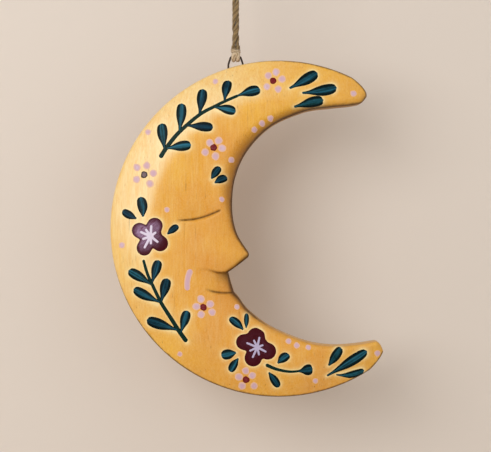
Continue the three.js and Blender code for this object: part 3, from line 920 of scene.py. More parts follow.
def new_material(name, coat=0.0, coat_roughness=0.2, specular=0.5, sheen=0.0):
    """A material with its nodes, its Principled shader and its object coordinates."""
    material, nodes = empty_material(name)
    shader = nodes.add("ShaderNodeBsdfPrincipled", {
        "Coat Weight": coat, "Coat Roughness": coat_roughness, "Specular IOR Level": specular,
        "Sheen Weight": sheen,
    })
    nodes.add("ShaderNodeOutputMaterial", {"Surface": shader.outputs[0]})
    place = nodes.add("ShaderNodeTexCoord").outputs["Object"]
    return material, nodes, shader, place


def finish_shader(nodes, shader, base, roughness, height, bump):
    """Joins a colour, a roughness and a height to the shader, with the bump's height in metres."""
    nodes.tree.links.new(base, shader.inputs["Base Color"])
    nodes.tree.links.new(roughness, shader.inputs["Roughness"])
    normal = nodes.add("ShaderNodeBump", {"Height": height, "Distance": bump, "Strength": 1.0})
    nodes.tree.links.new(normal.outputs[0], shader.inputs["Normal"])


@cache
def yellow_paint():
    """Warm yellow paint brushed over carved wood, with the grain showing, worn edges, satin varnish, and
    painted shade and sheen.
    """
    colours = bpy.context.scene.moon_colours
    material, nodes, shader, place = new_material("yellow_paint", coat_roughness=0.3, specular=0.12)
    edge, stain, shade, halo, rubbed, thick, side = (
        nodes.attribute(name).outputs["Fac"]
        for name in ("edge", "stain", "shade", "halo", "rubbed", "thick", "side"))
    grain = streaks(nodes, place, width=0.5 * MM, stretch=16.0, contrast=0.16)
    strokes = streaks(nodes, place, width=1.8 * MM, stretch=7.0, contrast=0.2)
    hairlines = streaks(nodes, place, width=0.5 * MM, stretch=70.0, contrast=0.5)
    blotches = mottle(nodes, place, size=26 * MM, contrast=0.14)
    patches = mottle(nodes, place, size=9 * MM, contrast=0.2)
    specks = mottle(nodes, place, size=0.7 * MM, contrast=0.22)
    cracks = nodes.times(nodes.ramp(hairlines, 0.36, 0.27), nodes.ramp(patches, 0.3, 0.7))

    # The yellow: deeper in blotches and in a band inside the bay's edge, pale where it is brushed out or
    # beside dark ornament, and pale on the outer slope, partly rubbed and partly painted sheen
    deep = nodes.plus(nodes.times(blotches, 0.4), nodes.times(thick, 0.6))
    deep = nodes.plus(deep, nodes.times(patches, 0.2), clamp=True)
    base = nodes.mix(deep, colours.yellow, colours.yellow_deep)
    rubbed_and_sheen_pale = nodes.times(rubbed, nodes.between(strokes, 0.5, 1.0))
    brushed_pale = nodes.times(strokes, nodes.ramp(shade, 0.0, 0.4, 0.26, 0.08))
    base = nodes.mix(nodes.larger(rubbed_and_sheen_pale, brushed_pale), base, colours.yellow_pale)
    grain_shown = nodes.times(grain, nodes.between(rubbed, 0.48, 0.34))
    base = nodes.mix(grain_shown, base, colours.yellow_deep)
    base = nodes.mix(nodes.times(specks, 0.2), base, colours.yellow_pale)
    base = nodes.mix(nodes.times(halo, 0.9), base, colours.yellow_pale)
    # The sides are brown, partly stain and partly painted shade
    side_stain_and_shade = nodes.times(side, nodes.between(strokes, 0.75, 0.5))
    # Painted shade where the front rounds into the bay and beside the mouth
    shaded = nodes.times(nodes.math("POWER", shade, 1.6), 0.82)
    base = nodes.mix(nodes.larger(side_stain_and_shade, shaded), base, colours.side_brown)

    # What is dark: edges, worn and in painted shade; dirt and painted shade in the carving and under the
    # nose; cracks; and painted shade round the two holes
    edge_darkening = {"Vector": place, "Distance": edge, "Width": 1.2 * MM, "Grain": 3 * MM}
    worn_and_shaded = nodes.group(edge_wear_and_shade_group(), edge_darkening)["Mask"]
    worn_and_shaded = nodes.times(worn_and_shaded, nodes.between(side, 0.85, 0.55))
    stained_and_shaded = nodes.times(stain, nodes.between(strokes, 0.98, 0.7))
    hole_shade = nodes.times(hole_shade_rings(nodes, place), 0.85)
    dark = nodes.larger(worn_and_shaded, stained_and_shaded, nodes.times(cracks, 0.6), hole_shade)
    base = nodes.mix(dark, base, colours.edge_brown)

    # Gloss and relief: satin where the paint is whole, dull where it is dark or bare
    roughness = nodes.plus(nodes.between(patches, 0.36, 0.46), nodes.times(grain, 0.06))
    roughness = nodes.plus(roughness, nodes.times(dark, 0.25))
    height = nodes.plus(nodes.times(grain, 0.5), nodes.times(specks, 0.5))
    height = nodes.minus(nodes.plus(height, strokes), cracks)
    bare = nodes.larger(dark, shaded, side)
    varnish = nodes.times(nodes.between(bare, 0.9, 0.1), nodes.between(rubbed, 0.5, 1.0))
    nodes.tree.links.new(varnish, shader.inputs["Coat Weight"])
    finish_shader(nodes, shader, base, roughness, height, 0.12 * MM)
    return material


def hole_shade_rings(nodes, place):
    """A dark ring round each of the two holes that the wire eye stands in, painted as their shade, with a
    ragged outer edge: a mask from 0 to 1.
    """
    leg = EYE_HIGH.x - bpy.context.scene.moon_eye.wire / 2
    x, y, z = nodes.separated(place)
    from_leg = nodes.math("ABSOLUTE", nodes.minus(nodes.math("ABSOLUTE", x), leg))
    distance = nodes.measured("LENGTH", nodes.combined(from_leg, y))
    ragged = nodes.noise(place, 900.0, 3.0, 0.6)
    outer = nodes.ramp(ragged, 0.3, 0.7, 0.9 * MM, 1.7 * MM)
    ring = nodes.ramp(distance, 0.6 * MM, outer, 1.0, 0.0, "SMOOTHSTEP")
    on_top = nodes.ramp(z, EYE_LOW.z, EYE_LOW.z + MM)
    return nodes.times(ring, on_top)


def brushed_paint(name, base, other, light, edge_colour, glow=0.5, least=0.15, vein=0.0, rim=0.45):
    """Ornament paint with brush strokes along each dab, whose colour varies from dab to dab.

    glow: how strongly the light strokes show
    least: their strength on the dab of the lowest tone, as a share of that
    vein: how dark the middle line is
    rim: where the dab's dark edge begins, as a share of its half width
    """
    material, nodes, shader, place = new_material(name, coat=0.04, coat_roughness=0.25, specular=0.05)
    across, along, tone = (nodes.attribute(label).outputs["Fac"] for label in ("across", "along", "tone"))
    # Dabs of different tones read different parts of the noise, so no two have the same strokes
    apart = nodes.times(tone, 31.0)
    strokes = streaks(nodes, nodes.combined(across, apart, along), width=0.36, stretch=3.0, contrast=0.16)
    patches = mottle(nodes, place, size=1.5 * MM, contrast=0.2)
    from_middle = nodes.math("ABSOLUTE", across)
    middle = nodes.ramp(from_middle, rim, rim + 0.35, 1.0, 0.0, "SMOOTHSTEP")
    # Tone differs at random from dab to dab, but in the plum flowers it is their painted sheen
    strength = nodes.times(nodes.between(tone, least, 1.0), glow)
    lit = nodes.times(nodes.ramp(strokes, 0.2, 1.0), middle, strength)
    edge = nodes.larger(nodes.ramp(from_middle, rim, rim + 0.4, 0.0, 0.95, "SMOOTHSTEP"),
                        nodes.ramp(from_middle, 0.02, 0.2, vein, 0.0))
    shown = nodes.mix(lit, nodes.mix(tone, base, other), light)
    shown = nodes.mix(nodes.times(patches, strength, 0.35), shown, light)
    shown = nodes.mix(edge, shown, edge_colour)
    finish_shader(nodes, shader, shown, nodes.between(patches, 0.32, 0.45), strokes, 0.03 * MM)
    return material


# Each ornament paint: its main colour, its other tone, its light strokes, its edges and how it is brushed
ORNAMENT_PAINTS = {
    "leaf_paint": ("leaf", "leaf_green", "leaf_light", "leaf_edge",
                   dict(glow=0.95, least=0.3, vein=0.3, rim=0.22)),
    "stem_paint": ("leaf_green", "leaf", "leaf_light", "leaf_edge", dict(glow=0.3)),
    "plum_paint": ("plum", "plum_purple", "plum_light", "plum", dict(glow=0.85, least=0.03, rim=0.62)),
    "lilac_paint": ("lilac", "lilac", "star", "lilac_thin", {}),
    "star_paint": ("star", "star", "lilac", "star", {}),
    "dull_star_paint": ("star_dull", "star_dull", "star", "star_dull", {}),
    "heart_paint": ("heart", "heart", "lilac", "heart", dict(glow=0.15)),
    "grey_heart_paint": ("heart_grey", "heart_grey", "lilac", "wire", dict(glow=0.25)),
}


@cache
def ornament_paint(name):
    """One of the paints in the table of the ornament's paints."""
    colours = bpy.context.scene.moon_colours
    *chosen, brushing = ORNAMENT_PAINTS[name]
    return brushed_paint(name, *(getattr(colours, label) for label in chosen), **brushing)


@cache
def jute():
    """Hairy jute with pale and dark fibres, painted shade between the plies, and paler round the wire, partly
    rubbed and partly painted highlight.
    """
    sizes = bpy.context.scene.moon_twine
    colours = bpy.context.scene.moon_colours
    material, nodes, shader, place = new_material("jute", specular=0.2, sheen=0.3)
    height = nodes.separated(place)[2]
    # Paler round the wire: partly rubbed twine, partly a painted highlight
    rubbed = nodes.ramp(height, EYE_HIGH.z + 2 * MM, EYE_HIGH.z + 3.5 * MM, 1.0, 0.0, "SMOOTHSTEP")
    round_about = nodes.attribute("round").outputs["Vector"]
    along, depth = (nodes.attribute(name).outputs["Fac"] for name in ("along", "groove"))
    where = nodes.vector("ADD", nodes.scaled(round_about, sizes.diameter / 2), nodes.combined(z=along))
    fibres = streaks(nodes, where, width=0.16 * MM, stretch=14.0, contrast=0.22)
    patches = mottle(nodes, place, size=4 * MM, contrast=0.25)
    dark = nodes.mix(rubbed, colours.jute_dark, colours.jute)
    base = nodes.mix(nodes.ramp(fibres, 0.4, 1.0, 0.0, 0.8), colours.jute, colours.jute_pale)
    base = nodes.mix(nodes.times(rubbed, 0.9), base, colours.jute_bleached)
    base = nodes.mix(nodes.ramp(fibres, 0.35, 0.0, 0.0, 0.7), base, dark)
    base = nodes.mix(nodes.times(patches, 0.25), base, dark)
    # Painted shade in the grooves between the plies
    base = nodes.mix(nodes.ramp(depth, 0.1, 0.9, 0.0, 0.75), base, dark)
    finish_shader(nodes, shader, base, nodes.between(fibres, 0.95, 0.75), fibres, 0.12 * MM)
    return material


@cache
def iron_wire():
    """Dark iron wire with dull rust in patches."""
    colours = bpy.context.scene.moon_colours
    material, nodes, shader, place = new_material("iron_wire")
    patches = mottle(nodes, place, size=1.2 * MM, contrast=0.12)
    scratches = streaks(nodes, place, width=0.2 * MM, stretch=6.0, contrast=0.3)
    base = nodes.mix(nodes.times(patches, 0.6), colours.wire, colours.rust)
    nodes.tree.links.new(nodes.ramp(patches, 0.2, 0.8, 0.9, 0.3), shader.inputs["Metallic"])
    finish_shader(nodes, shader, base, nodes.between(patches, 0.42, 0.75), scratches, 0.02 * MM)
    return material


# Trees that make the twine and the painted ornament

@cache
def twine_tree():
    """Twists plies along each line of points and stands loose fibres on them."""
    nodes, given = new_tree("Laid Twine", "GeometryNodeTree", [
        ("Geometry", "Geometry"), ("Diameter", "Float", 1.7 * MM), ("Lay", "Float", 7 * MM),
        ("Plies", "Int", 3), ("Groove", "Float", 0.26), ("Step", "Float", 0.3 * MM),
        ("Squash", "Float", 0.0), ("Fibre length", "Float", 1.5 * MM), ("Fibre density", "Float", 1e5),
        ("Seed", "Int", 1), ("Material", "Material"),
    ], [("Geometry", "Geometry")])
    radius = nodes.times(given["Diameter"], 0.5)
    line = twine_line(nodes, given)
    scale = nodes.times(radius, nodes.named("share"))
    twine = nodes.swept(line, plied_ring(nodes, given), scale)
    twine = pressed_together(nodes, twine, given["Squash"], radius)
    joined = nodes.add("GeometryNodeJoinGeometry", {0: twine})
    nodes.tree.links.new(loose_fibres(nodes, given, twine), joined.inputs[0])
    return finished_tree(nodes, given, joined.outputs[0])


def twine_line(nodes, given):
    """The line of points in even steps, turned once in each lay, with its place and width kept by name."""
    line = nodes.add("GeometryNodeResampleCurve", {"Curve": given["Geometry"], "Length": given["Step"]},
                     mode="LENGTH").outputs[0]
    run = nodes.run()
    line = nodes.stored(line, "along", run["Length"])
    line = nodes.stored(line, "centre", nodes.position(), "FLOAT_VECTOR")
    line = nodes.stored(line, "share", nodes.add("GeometryNodeInputRadius").outputs[0])
    line = nodes.add("GeometryNodeSetCurveRadius", {"Curve": line, "Radius": 1.0}).outputs[0]
    tilt = nodes.divided(nodes.times(run["Length"], 2 * pi), given["Lay"])
    return nodes.add("GeometryNodeSetCurveTilt", {"Curve": line, "Tilt": tilt}).outputs[0]


def plied_ring(nodes, given):
    """A ring with a groove between each ply and the next."""
    ring = nodes.add("GeometryNodeCurvePrimitiveCircle", {"Resolution": 24, "Radius": 1.0}).outputs[0]
    angle = nodes.times(nodes.run()["Factor"], 2 * pi)
    half = nodes.times(angle, given["Plies"], 0.5)
    groove = nodes.minus(1.0, nodes.math("ABSOLUTE", nodes.math("COSINE", half)))
    way = nodes.combined(nodes.math("COSINE", angle), nodes.math("SINE", angle))
    ring = nodes.stored(ring, "groove", groove)
    ring = nodes.stored(ring, "round", way, "FLOAT_VECTOR")
    reach = nodes.minus(1.0, nodes.times(groove, given["Groove"]))
    return nodes.moved(ring, Position=nodes.scaled(nodes.position(), reach))


def loose_fibres(nodes, given, twine):
    """Thin bent fibres that stand on the twine, each turned and sized by chance."""
    points = nodes.add("GeometryNodeDistributePointsOnFaces", {
        "Mesh": twine, "Density": given["Fibre density"], "Seed": given["Seed"],
    }).outputs
    bend = nodes.add("GeometryNodeCurveQuadraticBezier", {
        "Resolution": 4, "Start": (0, 0, -0.05), "Middle": (0.45, 0.1, 0.03), "End": (1, -0.05, 0.3),
    }).outputs[0]
    thin = nodes.add("GeometryNodeCurvePrimitiveCircle", {"Resolution": 3, "Radius": 0.014}).outputs[0]
    fibre = nodes.swept(bend, thin, nodes.between(nodes.run()["Factor"], 1.0, 0.25))
    spin = nodes.add("FunctionNodeRandomValue", {2: 0.0, 3: 2 * pi, "Seed": given["Seed"]}).outputs[1]
    turned = nodes.add("FunctionNodeAxisAngleToRotation", {"Axis": (0, 0, 1), "Angle": spin}).outputs[0]
    rotation = nodes.add("FunctionNodeRotateRotation", {"Rotation": points["Rotation"], "Rotate By": turned},
                         rotation_space="LOCAL").outputs[0]
    share = nodes.add("FunctionNodeRandomValue", {2: 0.4, 3: 1.3, "Seed": given["Seed"]}).outputs[1]
    size = nodes.times(share, given["Fibre length"])
    return nodes.add("GeometryNodeInstanceOnPoints", {
        "Points": points["Points"], "Instance": fibre, "Rotation": rotation,
        "Scale": nodes.combined(size, size, size),
    }).outputs[0]


def pressed_together(nodes, twine, squash, radius):
    """Flattens the side of a strand that faces the z axis and widens it, as two strands in one cord are."""
    centre = nodes.named("centre", "FLOAT_VECTOR")
    offset = nodes.vector("SUBTRACT", nodes.position(), centre)
    x, y, _ = nodes.separated(centre)
    level = nodes.combined(x, y)
    outward = nodes.vector("NORMALIZE", level)
    out = nodes.measured("DOT_PRODUCT", offset, outward)
    beside = nodes.vector("SUBTRACT", offset, nodes.scaled(outward, out))
    short_of_axis = nodes.times(nodes.measured("LENGTH", level), -SHORT_OF_AXIS)
    moved_in = nodes.larger(nodes.minus(out, nodes.times(radius, PRESSED_IN)), short_of_axis)
    pressed = nodes.vector("ADD", nodes.scaled(outward, moved_in), nodes.scaled(beside, WIDENED))
    new_offset = nodes.add("ShaderNodeMix", {0: squash, 4: offset, 5: pressed}, data_type="VECTOR").outputs[1]
    return nodes.moved(twine, Position=nodes.vector("ADD", centre, new_offset))


def finished_tree(nodes, given, geometry):
    """Ends a tree: smooth, without instances and with its material."""
    smooth = nodes.add("GeometryNodeSetShadeSmooth", {"Geometry": geometry}).outputs[0]
    whole = nodes.add("GeometryNodeSetMaterial", {
        "Geometry": nodes.realized(smooth), "Material": given["Material"],
    }).outputs[0]
    nodes.add("NodeGroupOutput", {"Geometry": whole})
    return nodes.tree


# Inputs of every tree that lays ornament on the wood
ORNAMENT_INPUTS = [("Geometry", "Geometry"), ("Wood", "Object"), ("Lift", "Float", 0.0),
                   ("Thickness", "Float", 0.1 * MM)]


@cache
def lay_on_wood_group():
    """Lays flat ornament on the front of the wood; its dome attribute raises it from a sunk rim."""
    nodes, given = new_tree("Lay On Wood", "GeometryNodeTree", ORNAMENT_INPUTS, [("Geometry", "Geometry")])
    wood = nodes.add("GeometryNodeObjectInfo", {"Object": given["Wood"]},
                     transform_space="RELATIVE").outputs["Geometry"]
    x, _, z = nodes.separated(nodes.position())
    hit = nodes.add("GeometryNodeRaycast", {
        "Target Geometry": wood, "Source Position": nodes.combined(x, -0.1, z), "Ray Direction": (0, 1, 0),
        "Ray Length": 0.2,
    }).outputs
    dome = nodes.named("dome")
    rise = nodes.plus(nodes.times(dome, given["Thickness"]), given["Lift"])
    rise = nodes.times(rise, nodes.ramp(dome, 0.0, 0.1))
    sunk = nodes.times(nodes.minus(rise, 0.01 * MM), -1.0)
    marked = nodes.stored(given["Geometry"], "missed", nodes.minus(1.0, hit["Is Hit"]))
    laid = nodes.moved(marked, Position=hit["Hit Position"], Offset=nodes.combined(y=sunk))
    kept = nodes.add("GeometryNodeDeleteGeometry", {"Geometry": laid, "Selection": nodes.named("missed")})
    nodes.add("NodeGroupOutput", {"Geometry": kept.outputs[0]})
    return nodes.tree


def ornament_tree(name, inputs):
    """A tree for ornament, with the inputs that all of it has and its own."""
    inputs = [*ORNAMENT_INPUTS, *inputs, ("Material", "Material")]
    return new_tree(name, "GeometryNodeTree", inputs, [("Geometry", "Geometry")])


def laid_tree(nodes, given, geometry):
    """Ends an ornament's tree: lays it on the wood, smooths it and gives it its paint."""
    shared = {label: given[label] for label in ("Wood", "Lift", "Thickness")}
    laid = nodes.group(lay_on_wood_group(), {"Geometry": geometry, **shared})["Geometry"]
    return finished_tree(nodes, given, laid)


def on_marks(nodes, marks, shape, long_scale):
    """The shape on each mark, turned and as wide as the mark says and scaled by its length."""
    turn = nodes.add("FunctionNodeEulerToRotation", {"Euler": nodes.combined(y=nodes.named("turn"))})
    half_width = nodes.times(nodes.named("width"), 0.5)
    size = nodes.combined(half_width, 1.0, nodes.times(nodes.named("length"), long_scale))
    return nodes.realized(nodes.add("GeometryNodeInstanceOnPoints", {
        "Points": marks, "Instance": shape, "Rotation": turn.outputs[0], "Scale": size,
    }).outputs[0])


def arched(nodes, power):
    """The height of a dab over its width: 1 in the middle and 0 at its edges."""
    across = nodes.math("ABSOLUTE", nodes.named("across"))
    return nodes.minus(1.0, nodes.math("POWER", across, power))


# Half width of a leaf at some shares of its length, as a share of its widest
LEAF_OUTLINE = [(0, 0.2), (0.13, 0.27), (0.32, 0.57), (0.5, 0.88), (0.66, 1), (0.82, 0.94), (0.94, 0.66),
                (0.985, 0.35), (1, 0)]


@cache
def leaf_tree():
    """A pointed dab with a round end on each point, turned and sized by the point's attributes."""
    nodes, given = ornament_tree("Painted Leaves", [("Rows", "Int", 22), ("Columns", "Int", 11)])
    sheet = nodes.add("GeometryNodeMeshGrid", {
        "Size X": 2.0, "Size Y": 1.0, "Vertices X": given["Columns"], "Vertices Y": given["Rows"],
    }).outputs[0]
    x, y, _ = nodes.separated(nodes.position())
    sheet = nodes.stored(sheet, "across", x)
    sheet = nodes.stored(sheet, "along", nodes.plus(y, 0.5))
    upright = nodes.combined(nodes.named("across"), 0.0, nodes.named("along"))
    leaves = on_marks(nodes, given["Geometry"], nodes.moved(sheet, Position=upright), 1.0)

    profile = nodes.add("ShaderNodeFloatCurve", {
        "Value": nodes.math("POWER", nodes.named("along"), nodes.named("taper")),
    })
    points = profile.mapping.curves[0].points
    points[0].location = LEAF_OUTLINE[0]
    points[1].location = LEAF_OUTLINE[-1]
    for location in LEAF_OUTLINE[1:-1]:
        points.new(*location)
    profile.mapping.update()
    narrower = nodes.minus(profile.outputs[0], 1.0)
    inwards = nodes.times(nodes.named("across"), nodes.times(nodes.named("width"), 0.5), narrower)
    between_ends = nodes.times(nodes.named("along"), nodes.minus(1.0, nodes.named("along")))
    sway = nodes.times(between_ends, 4.0, nodes.named("bend"))
    down = nodes.times(nodes.math("SINE", nodes.named("turn")), -1.0)
    aside = nodes.combined(nodes.math("COSINE", nodes.named("turn")), 0.0, down)
    leaves = nodes.moved(leaves, Offset=nodes.scaled(aside, nodes.plus(inwards, sway)))
    dome = nodes.times(arched(nodes, 2.0), nodes.ramp(between_ends, 0.0, 0.06))
    leaves = nodes.stored(leaves, "dome", dome)
    leaves = nodes.add("GeometryNodeMergeByDistance", {"Geometry": leaves, "Distance": 0.005 * MM}).outputs[0]
    return laid_tree(nodes, given, leaves)


@cache
def dab_tree():
    """A round raised dab on each point, with an uneven outline."""
    nodes, given = ornament_tree("Painted Dabs", [("Sides", "Int", 22), ("Rings", "Int", 6)])
    disc = nodes.add("GeometryNodeMeshCone", {
        "Vertices": given["Sides"], "Side Segments": given["Rings"], "Radius Top": 0.0, "Radius Bottom": 1.0,
        "Depth": 1.0,
    }, fill_type="NONE").outputs[0]
    x, y, z = nodes.separated(nodes.position())
    disc = nodes.stored(disc, "across", nodes.minus(1.0, z))
    disc = nodes.stored(disc, "along", y)
    dabs = on_marks(nodes, given["Geometry"], nodes.moved(disc, Position=nodes.combined(x, 0.0, y)), 0.5)
    uneven = nodes.add("ShaderNodeTexNoise", {"Vector": nodes.position(), "Scale": 650.0, "Detail": 1.0})
    uneven = nodes.vector("SUBTRACT", uneven.outputs["Color"], (0.5, 0.5, 0.5))
    dabs = nodes.moved(dabs, Offset=nodes.scaled(uneven, 0.9 * MM))
    return laid_tree(nodes, given, nodes.stored(dabs, "dome", arched(nodes, 2.5)))


@cache
def stroke_tree():
    """A brush stroke with round ends along each line of points, as wide at its start as the line's radius."""
    nodes, given = ornament_tree("Painted Strokes", [("Step", "Float", 0.35 * MM), ("Tip", "Float", 0.5)])
    line = nodes.add("GeometryNodeResampleCurve", {"Curve": given["Geometry"], "Length": given["Step"]},
                     mode="LENGTH").outputs[0]
    run = nodes.run()
    line = nodes.stored(line, "along", run["Factor"])
    at_start = nodes.add("GeometryNodeInputRadius").outputs[0]
    width = nodes.times(at_start, nodes.ramp(run["Factor"], 0.0, 1.0, 1.0, given["Tip"]))
    whole = nodes.divided(run["Length"], nodes.larger(run["Factor"], 0.001))
    to_end = nodes.math("MINIMUM", run["Length"], nodes.minus(whole, run["Length"]))
    inset = nodes.ramp(nodes.divided(to_end, width), 0.0, 0.5, 1.0, 0.0)
    ends = nodes.math("SQRT", nodes.minus(1.02, nodes.times(inset, inset)))
    line = nodes.stored(line, "ends", ends)
    line = nodes.stored(line, "width", width)
    line = nodes.add("GeometryNodeSetCurveRadius", {"Curve": line, "Radius": 1.0}).outputs[0]
    line = nodes.add("GeometryNodeSetCurveNormal", {"Curve": line, "Normal": (0, 1, 0)},
                     mode="FREE").outputs[0]
    bar = nodes.add("GeometryNodeCurvePrimitiveLine", {"Start": (0, 0.5, 0), "End": (0, -0.5, 0)}).outputs[0]
    bar = nodes.add("GeometryNodeResampleCurve", {"Curve": bar, "Count": 9}, mode="COUNT").outputs[0]
    bar = nodes.stored(bar, "across", nodes.between(nodes.run()["Factor"], 1.0, -1.0))
    stroke = nodes.swept(line, bar, nodes.times(nodes.named("width"), nodes.named("ends")), caps=False)
    dome = nodes.times(arched(nodes, 2.5), nodes.ramp(nodes.named("ends"), 0.15, 0.6))
    return laid_tree(nodes, given, nodes.stored(stroke, "dome", dome))


@cache
def patch_tree():
    """Lays a flat patch of paint on the wood as it is."""
    nodes, given = ornament_tree("Painted Patch", [])
    return laid_tree(nodes, given, given["Geometry"])


# Ornament

def on_wood(point):
    """A place of the ornament in the frame's X and Z, in metres."""
    return outer_centre(bpy.context.scene.moon_sizes) + np.array(point) * MM


def marks(name, places):
    """Loose points with what the dabs on them need: place, length, width, turn, bend and taper."""
    chance = np.random.default_rng(7)
    points = [(x, 0, z) for (x, z), *_ in places]
    columns = list(zip(*[mark[1:] for mark in places]))
    values = dict(zip(("length", "width", "turn", "bend", "taper"), columns))
    values["tone"] = chance.random(len(places))
    return mesh_object(name, points, [], values)


def stroke_lines(name, lines, *widths):
    """Lines of the ornament for brush strokes to follow, with one width for all or one for each."""
    lines = [smooth_line([on_wood(point) for point in line], 8) for line in lines]
    widths = widths if len(widths) > 1 else widths * len(lines)
    return curve_object(name, [np.insert(line, 1, 0, axis=1) for line in lines], widths)


def leaf_mark(start, end, width, bend, taper):
    """The mark of a leaf from start to end, in the ornament's millimetres; a low taper blunts its start."""
    start, end = on_wood(start), on_wood(end)
    across, up = end - start
    return start, hypot(across, up), width, atan2(across, up), bend, taper


def dab_mark(place, across, stretch=1.0, turn=0.0):
    """The mark of a dab: its width, and its length as a share of that."""
    return on_wood(place), across * stretch, across, turn


def flower_patch(name, centre, petals, sheen, rings=9, spokes=96):
    """A flat flower whose outline follows its petals and a round middle, with painted sheen that makes it
    purpler and lighter towards its upper left.
    """
    middle = on_wood(centre)
    angles = np.linspace(0, 2 * pi, spokes, endpoint=False)
    ways = np.column_stack([np.cos(angles), np.sin(angles)])
    reach = np.full(spokes, FLOWER_MIDDLE)
    for place, radius in petals:
        offset = on_wood(place) - middle
        ahead = ways @ offset
        inside = (radius * MM) ** 2 - (offset @ offset - ahead ** 2)
        reach = np.maximum(reach, np.where(inside > 0, ahead + np.sqrt(np.maximum(inside, 0)), 0))
    # Each spoke's reach is evened out with its two neighbours on either side
    soft = np.array([0.15, 0.2, 0.3, 0.2, 0.15])
    reach = np.convolve(np.concatenate([reach[-2:], reach, reach[:2]]), soft, "valid")
    shares = np.linspace(0, 1, rings + 1)[1:]
    places = middle + (shares[:, None, None] * reach[None, :, None] * ways[None]).reshape(-1, 2)
    places = np.vstack([places, middle])
    vertices = np.column_stack([places[:, 0], np.zeros(len(places)), places[:, 1]])
    faces = grid_faces(rings, spokes, closed=True)[:, ::-1].tolist()
    last = rings * spokes
    faces += [[last, k, (k + 1) % spokes] for k in range(spokes)]
    from_middle = np.append(np.repeat(shares, spokes), 0)
    values = {
        "dome": np.clip((1 - from_middle ** 6) * 1.2, 0, 1),
        "across": from_middle,
        "along": np.append(np.tile(angles, rings), 0),
        # Tone is the painted sheen, rising towards the upper left
        "tone": np.clip(0.55 + (places - middle) @ (-60, 60), 0, 1) * sheen,
    }
    return mesh_object(name, vertices, faces, values)


def painted(name, source, tree, paint_name, thickness, lift=0.0, **values):
    """Ornament laid on the wood in one of the paints, riding with the moon."""
    piece = grown(name, source, tree, Wood=bpy.data.objects["moon_wood"], Thickness=thickness, Lift=lift,
                  Material=ornament_paint(paint_name), **values)
    return carried(piece, "moon", "painted_wood")


# Paths of the twine and the wire


def mirrored(points):
    """The same points on the other side of the twine's axis, in the opposite order."""
    return [(-x, y, z) for x, y, z in reversed(points)]


def strand_offset(twine):
    """How far from the twine's axis the middle of each strand runs."""
    return (twine.diameter + twine.strand_gap) / 2


def strand_path(twine, start):
    """One strand from the hitch up: straight for a diameter at each end and wound between."""
    low, high, easing = STRAND_LOW.z, STRAND_HIGH.z, twine.diameter
    up = np.linspace(0, high - low, 90)

    def ramped(distance):
        return np.minimum(distance, easing) ** 2 / (2 * easing) + np.maximum(0, distance - easing)

    wound = np.where(up < (high - low) / 2, ramped(up), high - low - easing - ramped(high - low - up))
    angle = start + 2 * pi * wound / twine.pitch
    offset = strand_offset(twine)
    path = np.column_stack([offset * np.cos(angle), offset * np.sin(angle), low + up])
    path[-1, 2] += GAP
    return path


def hitch_path(twine, eye):
    """Each strand goes behind the wire and under it, and a bight joins the two in front."""
    offset = strand_offset(twine)
    crown = EYE_HIGH.z - eye.wire / 2
    height = STRAND_LOW.z - crown
    wrap = eye.wire / 2 + GAP + twine.diameter / 2
    aside = 0.9 * offset
    left = [(-aside, 0, height), (-aside, 0, height - twine.diameter / 2),
            (-aside, 0, height - twine.diameter),
            (-aside, wrap / 2, height - GAP - 1.65 * twine.diameter)]
    for angle in map(radians, (15, -30, -75, -120, -165)):
        left.append((-aside, wrap * cos(angle), wrap * sin(angle)))
    left += [(-aside, -wrap, 0.4 * aside), (-0.75 * aside, -wrap, 1.1 * aside)]
    points = [*left, (0, -wrap, 1.35 * aside), *mirrored(left)]
    return smooth_line(points, 10) + np.array([0, 0, crown])


def binding_path(twine, eye):
    """The thinner turns that bind the hitch over the wire."""
    crown = EYE_HIGH.z - eye.wire / 2
    turns = np.linspace(0, 1, 49)
    angle = -pi / 2 + 2 * pi * 2 * (turns - 0.5)
    half_width = strand_offset(twine) + 0.4 * twine.diameter
    up = 1.9 * MM + 1.6 * MM * turns
    return np.column_stack([half_width * np.cos(angle), 0.95 * half_width * np.sin(angle), crown + up])


def knot_paths(twine):
    """A wrapped knot: two turns round the strands, which run through it, and the two cut ends."""
    centre = KNOT_HIGH.z - (LOOP_LOW.z - STRAND_HIGH.z - 2 * GAP) / 2
    bulge, half_height = 2.65 * MM, 1.75 * MM
    turns = np.linspace(0, 1, 61)
    up = half_height * (2 * turns - 1)
    across = np.sqrt(bulge ** 2 - up ** 2)
    angle = -pi / 2 + 4 * pi * turns
    coil = np.column_stack([across * np.cos(angle), across * np.sin(angle), up])
    reach = KNOT_HIGH.x
    before = [(-reach, -0.9 * MM, -2.1 * MM), (-reach * 0.75, -1.2 * MM, -1.5 * MM),
              (-reach * 0.45, -1.7 * MM, -1.5 * MM)]
    after = [(reach * 0.45, -1.7 * MM, 1.2 * MM), (reach * 0.75, -1.2 * MM, 0.3 * MM),
             (reach, -0.9 * MM, -1.5 * MM)]
    wrapped = smooth_line([*before, *coil[3:-3:3], *after], 6)
    offset = IN_KNOT * strand_offset(twine)
    core = [[(x, 0, 4.2 * MM), (x, 0, -4 * MM)] for x in (-offset, offset)]
    lift = np.array([0, 0, centre])
    return [wrapped + lift, *(smooth_line(line, 12) + lift for line in core)]


def loop_path(twine):
    """The loop over the hook, from the knot up, over and down again."""
    offset = strand_offset(twine)
    radius = twine.diameter / 2
    height = -LOOP_LOW.z
    half = LOOP_HIGH.x - radius
    rise = [(-offset * IN_KNOT, 0, -height - 2 * GAP), (-offset - 0.1 * MM, 0, -height + twine.diameter),
            (-half * 0.62, 0, -height * 0.68), (-half * 0.9, 0, -height * 0.4), (-half, 0, -height * 0.2),
            (-half * 0.78, 0, radius - half * 0.6)]
    return smooth_line([*rise, (0, 0, radius), *mirrored(rise)], 8)


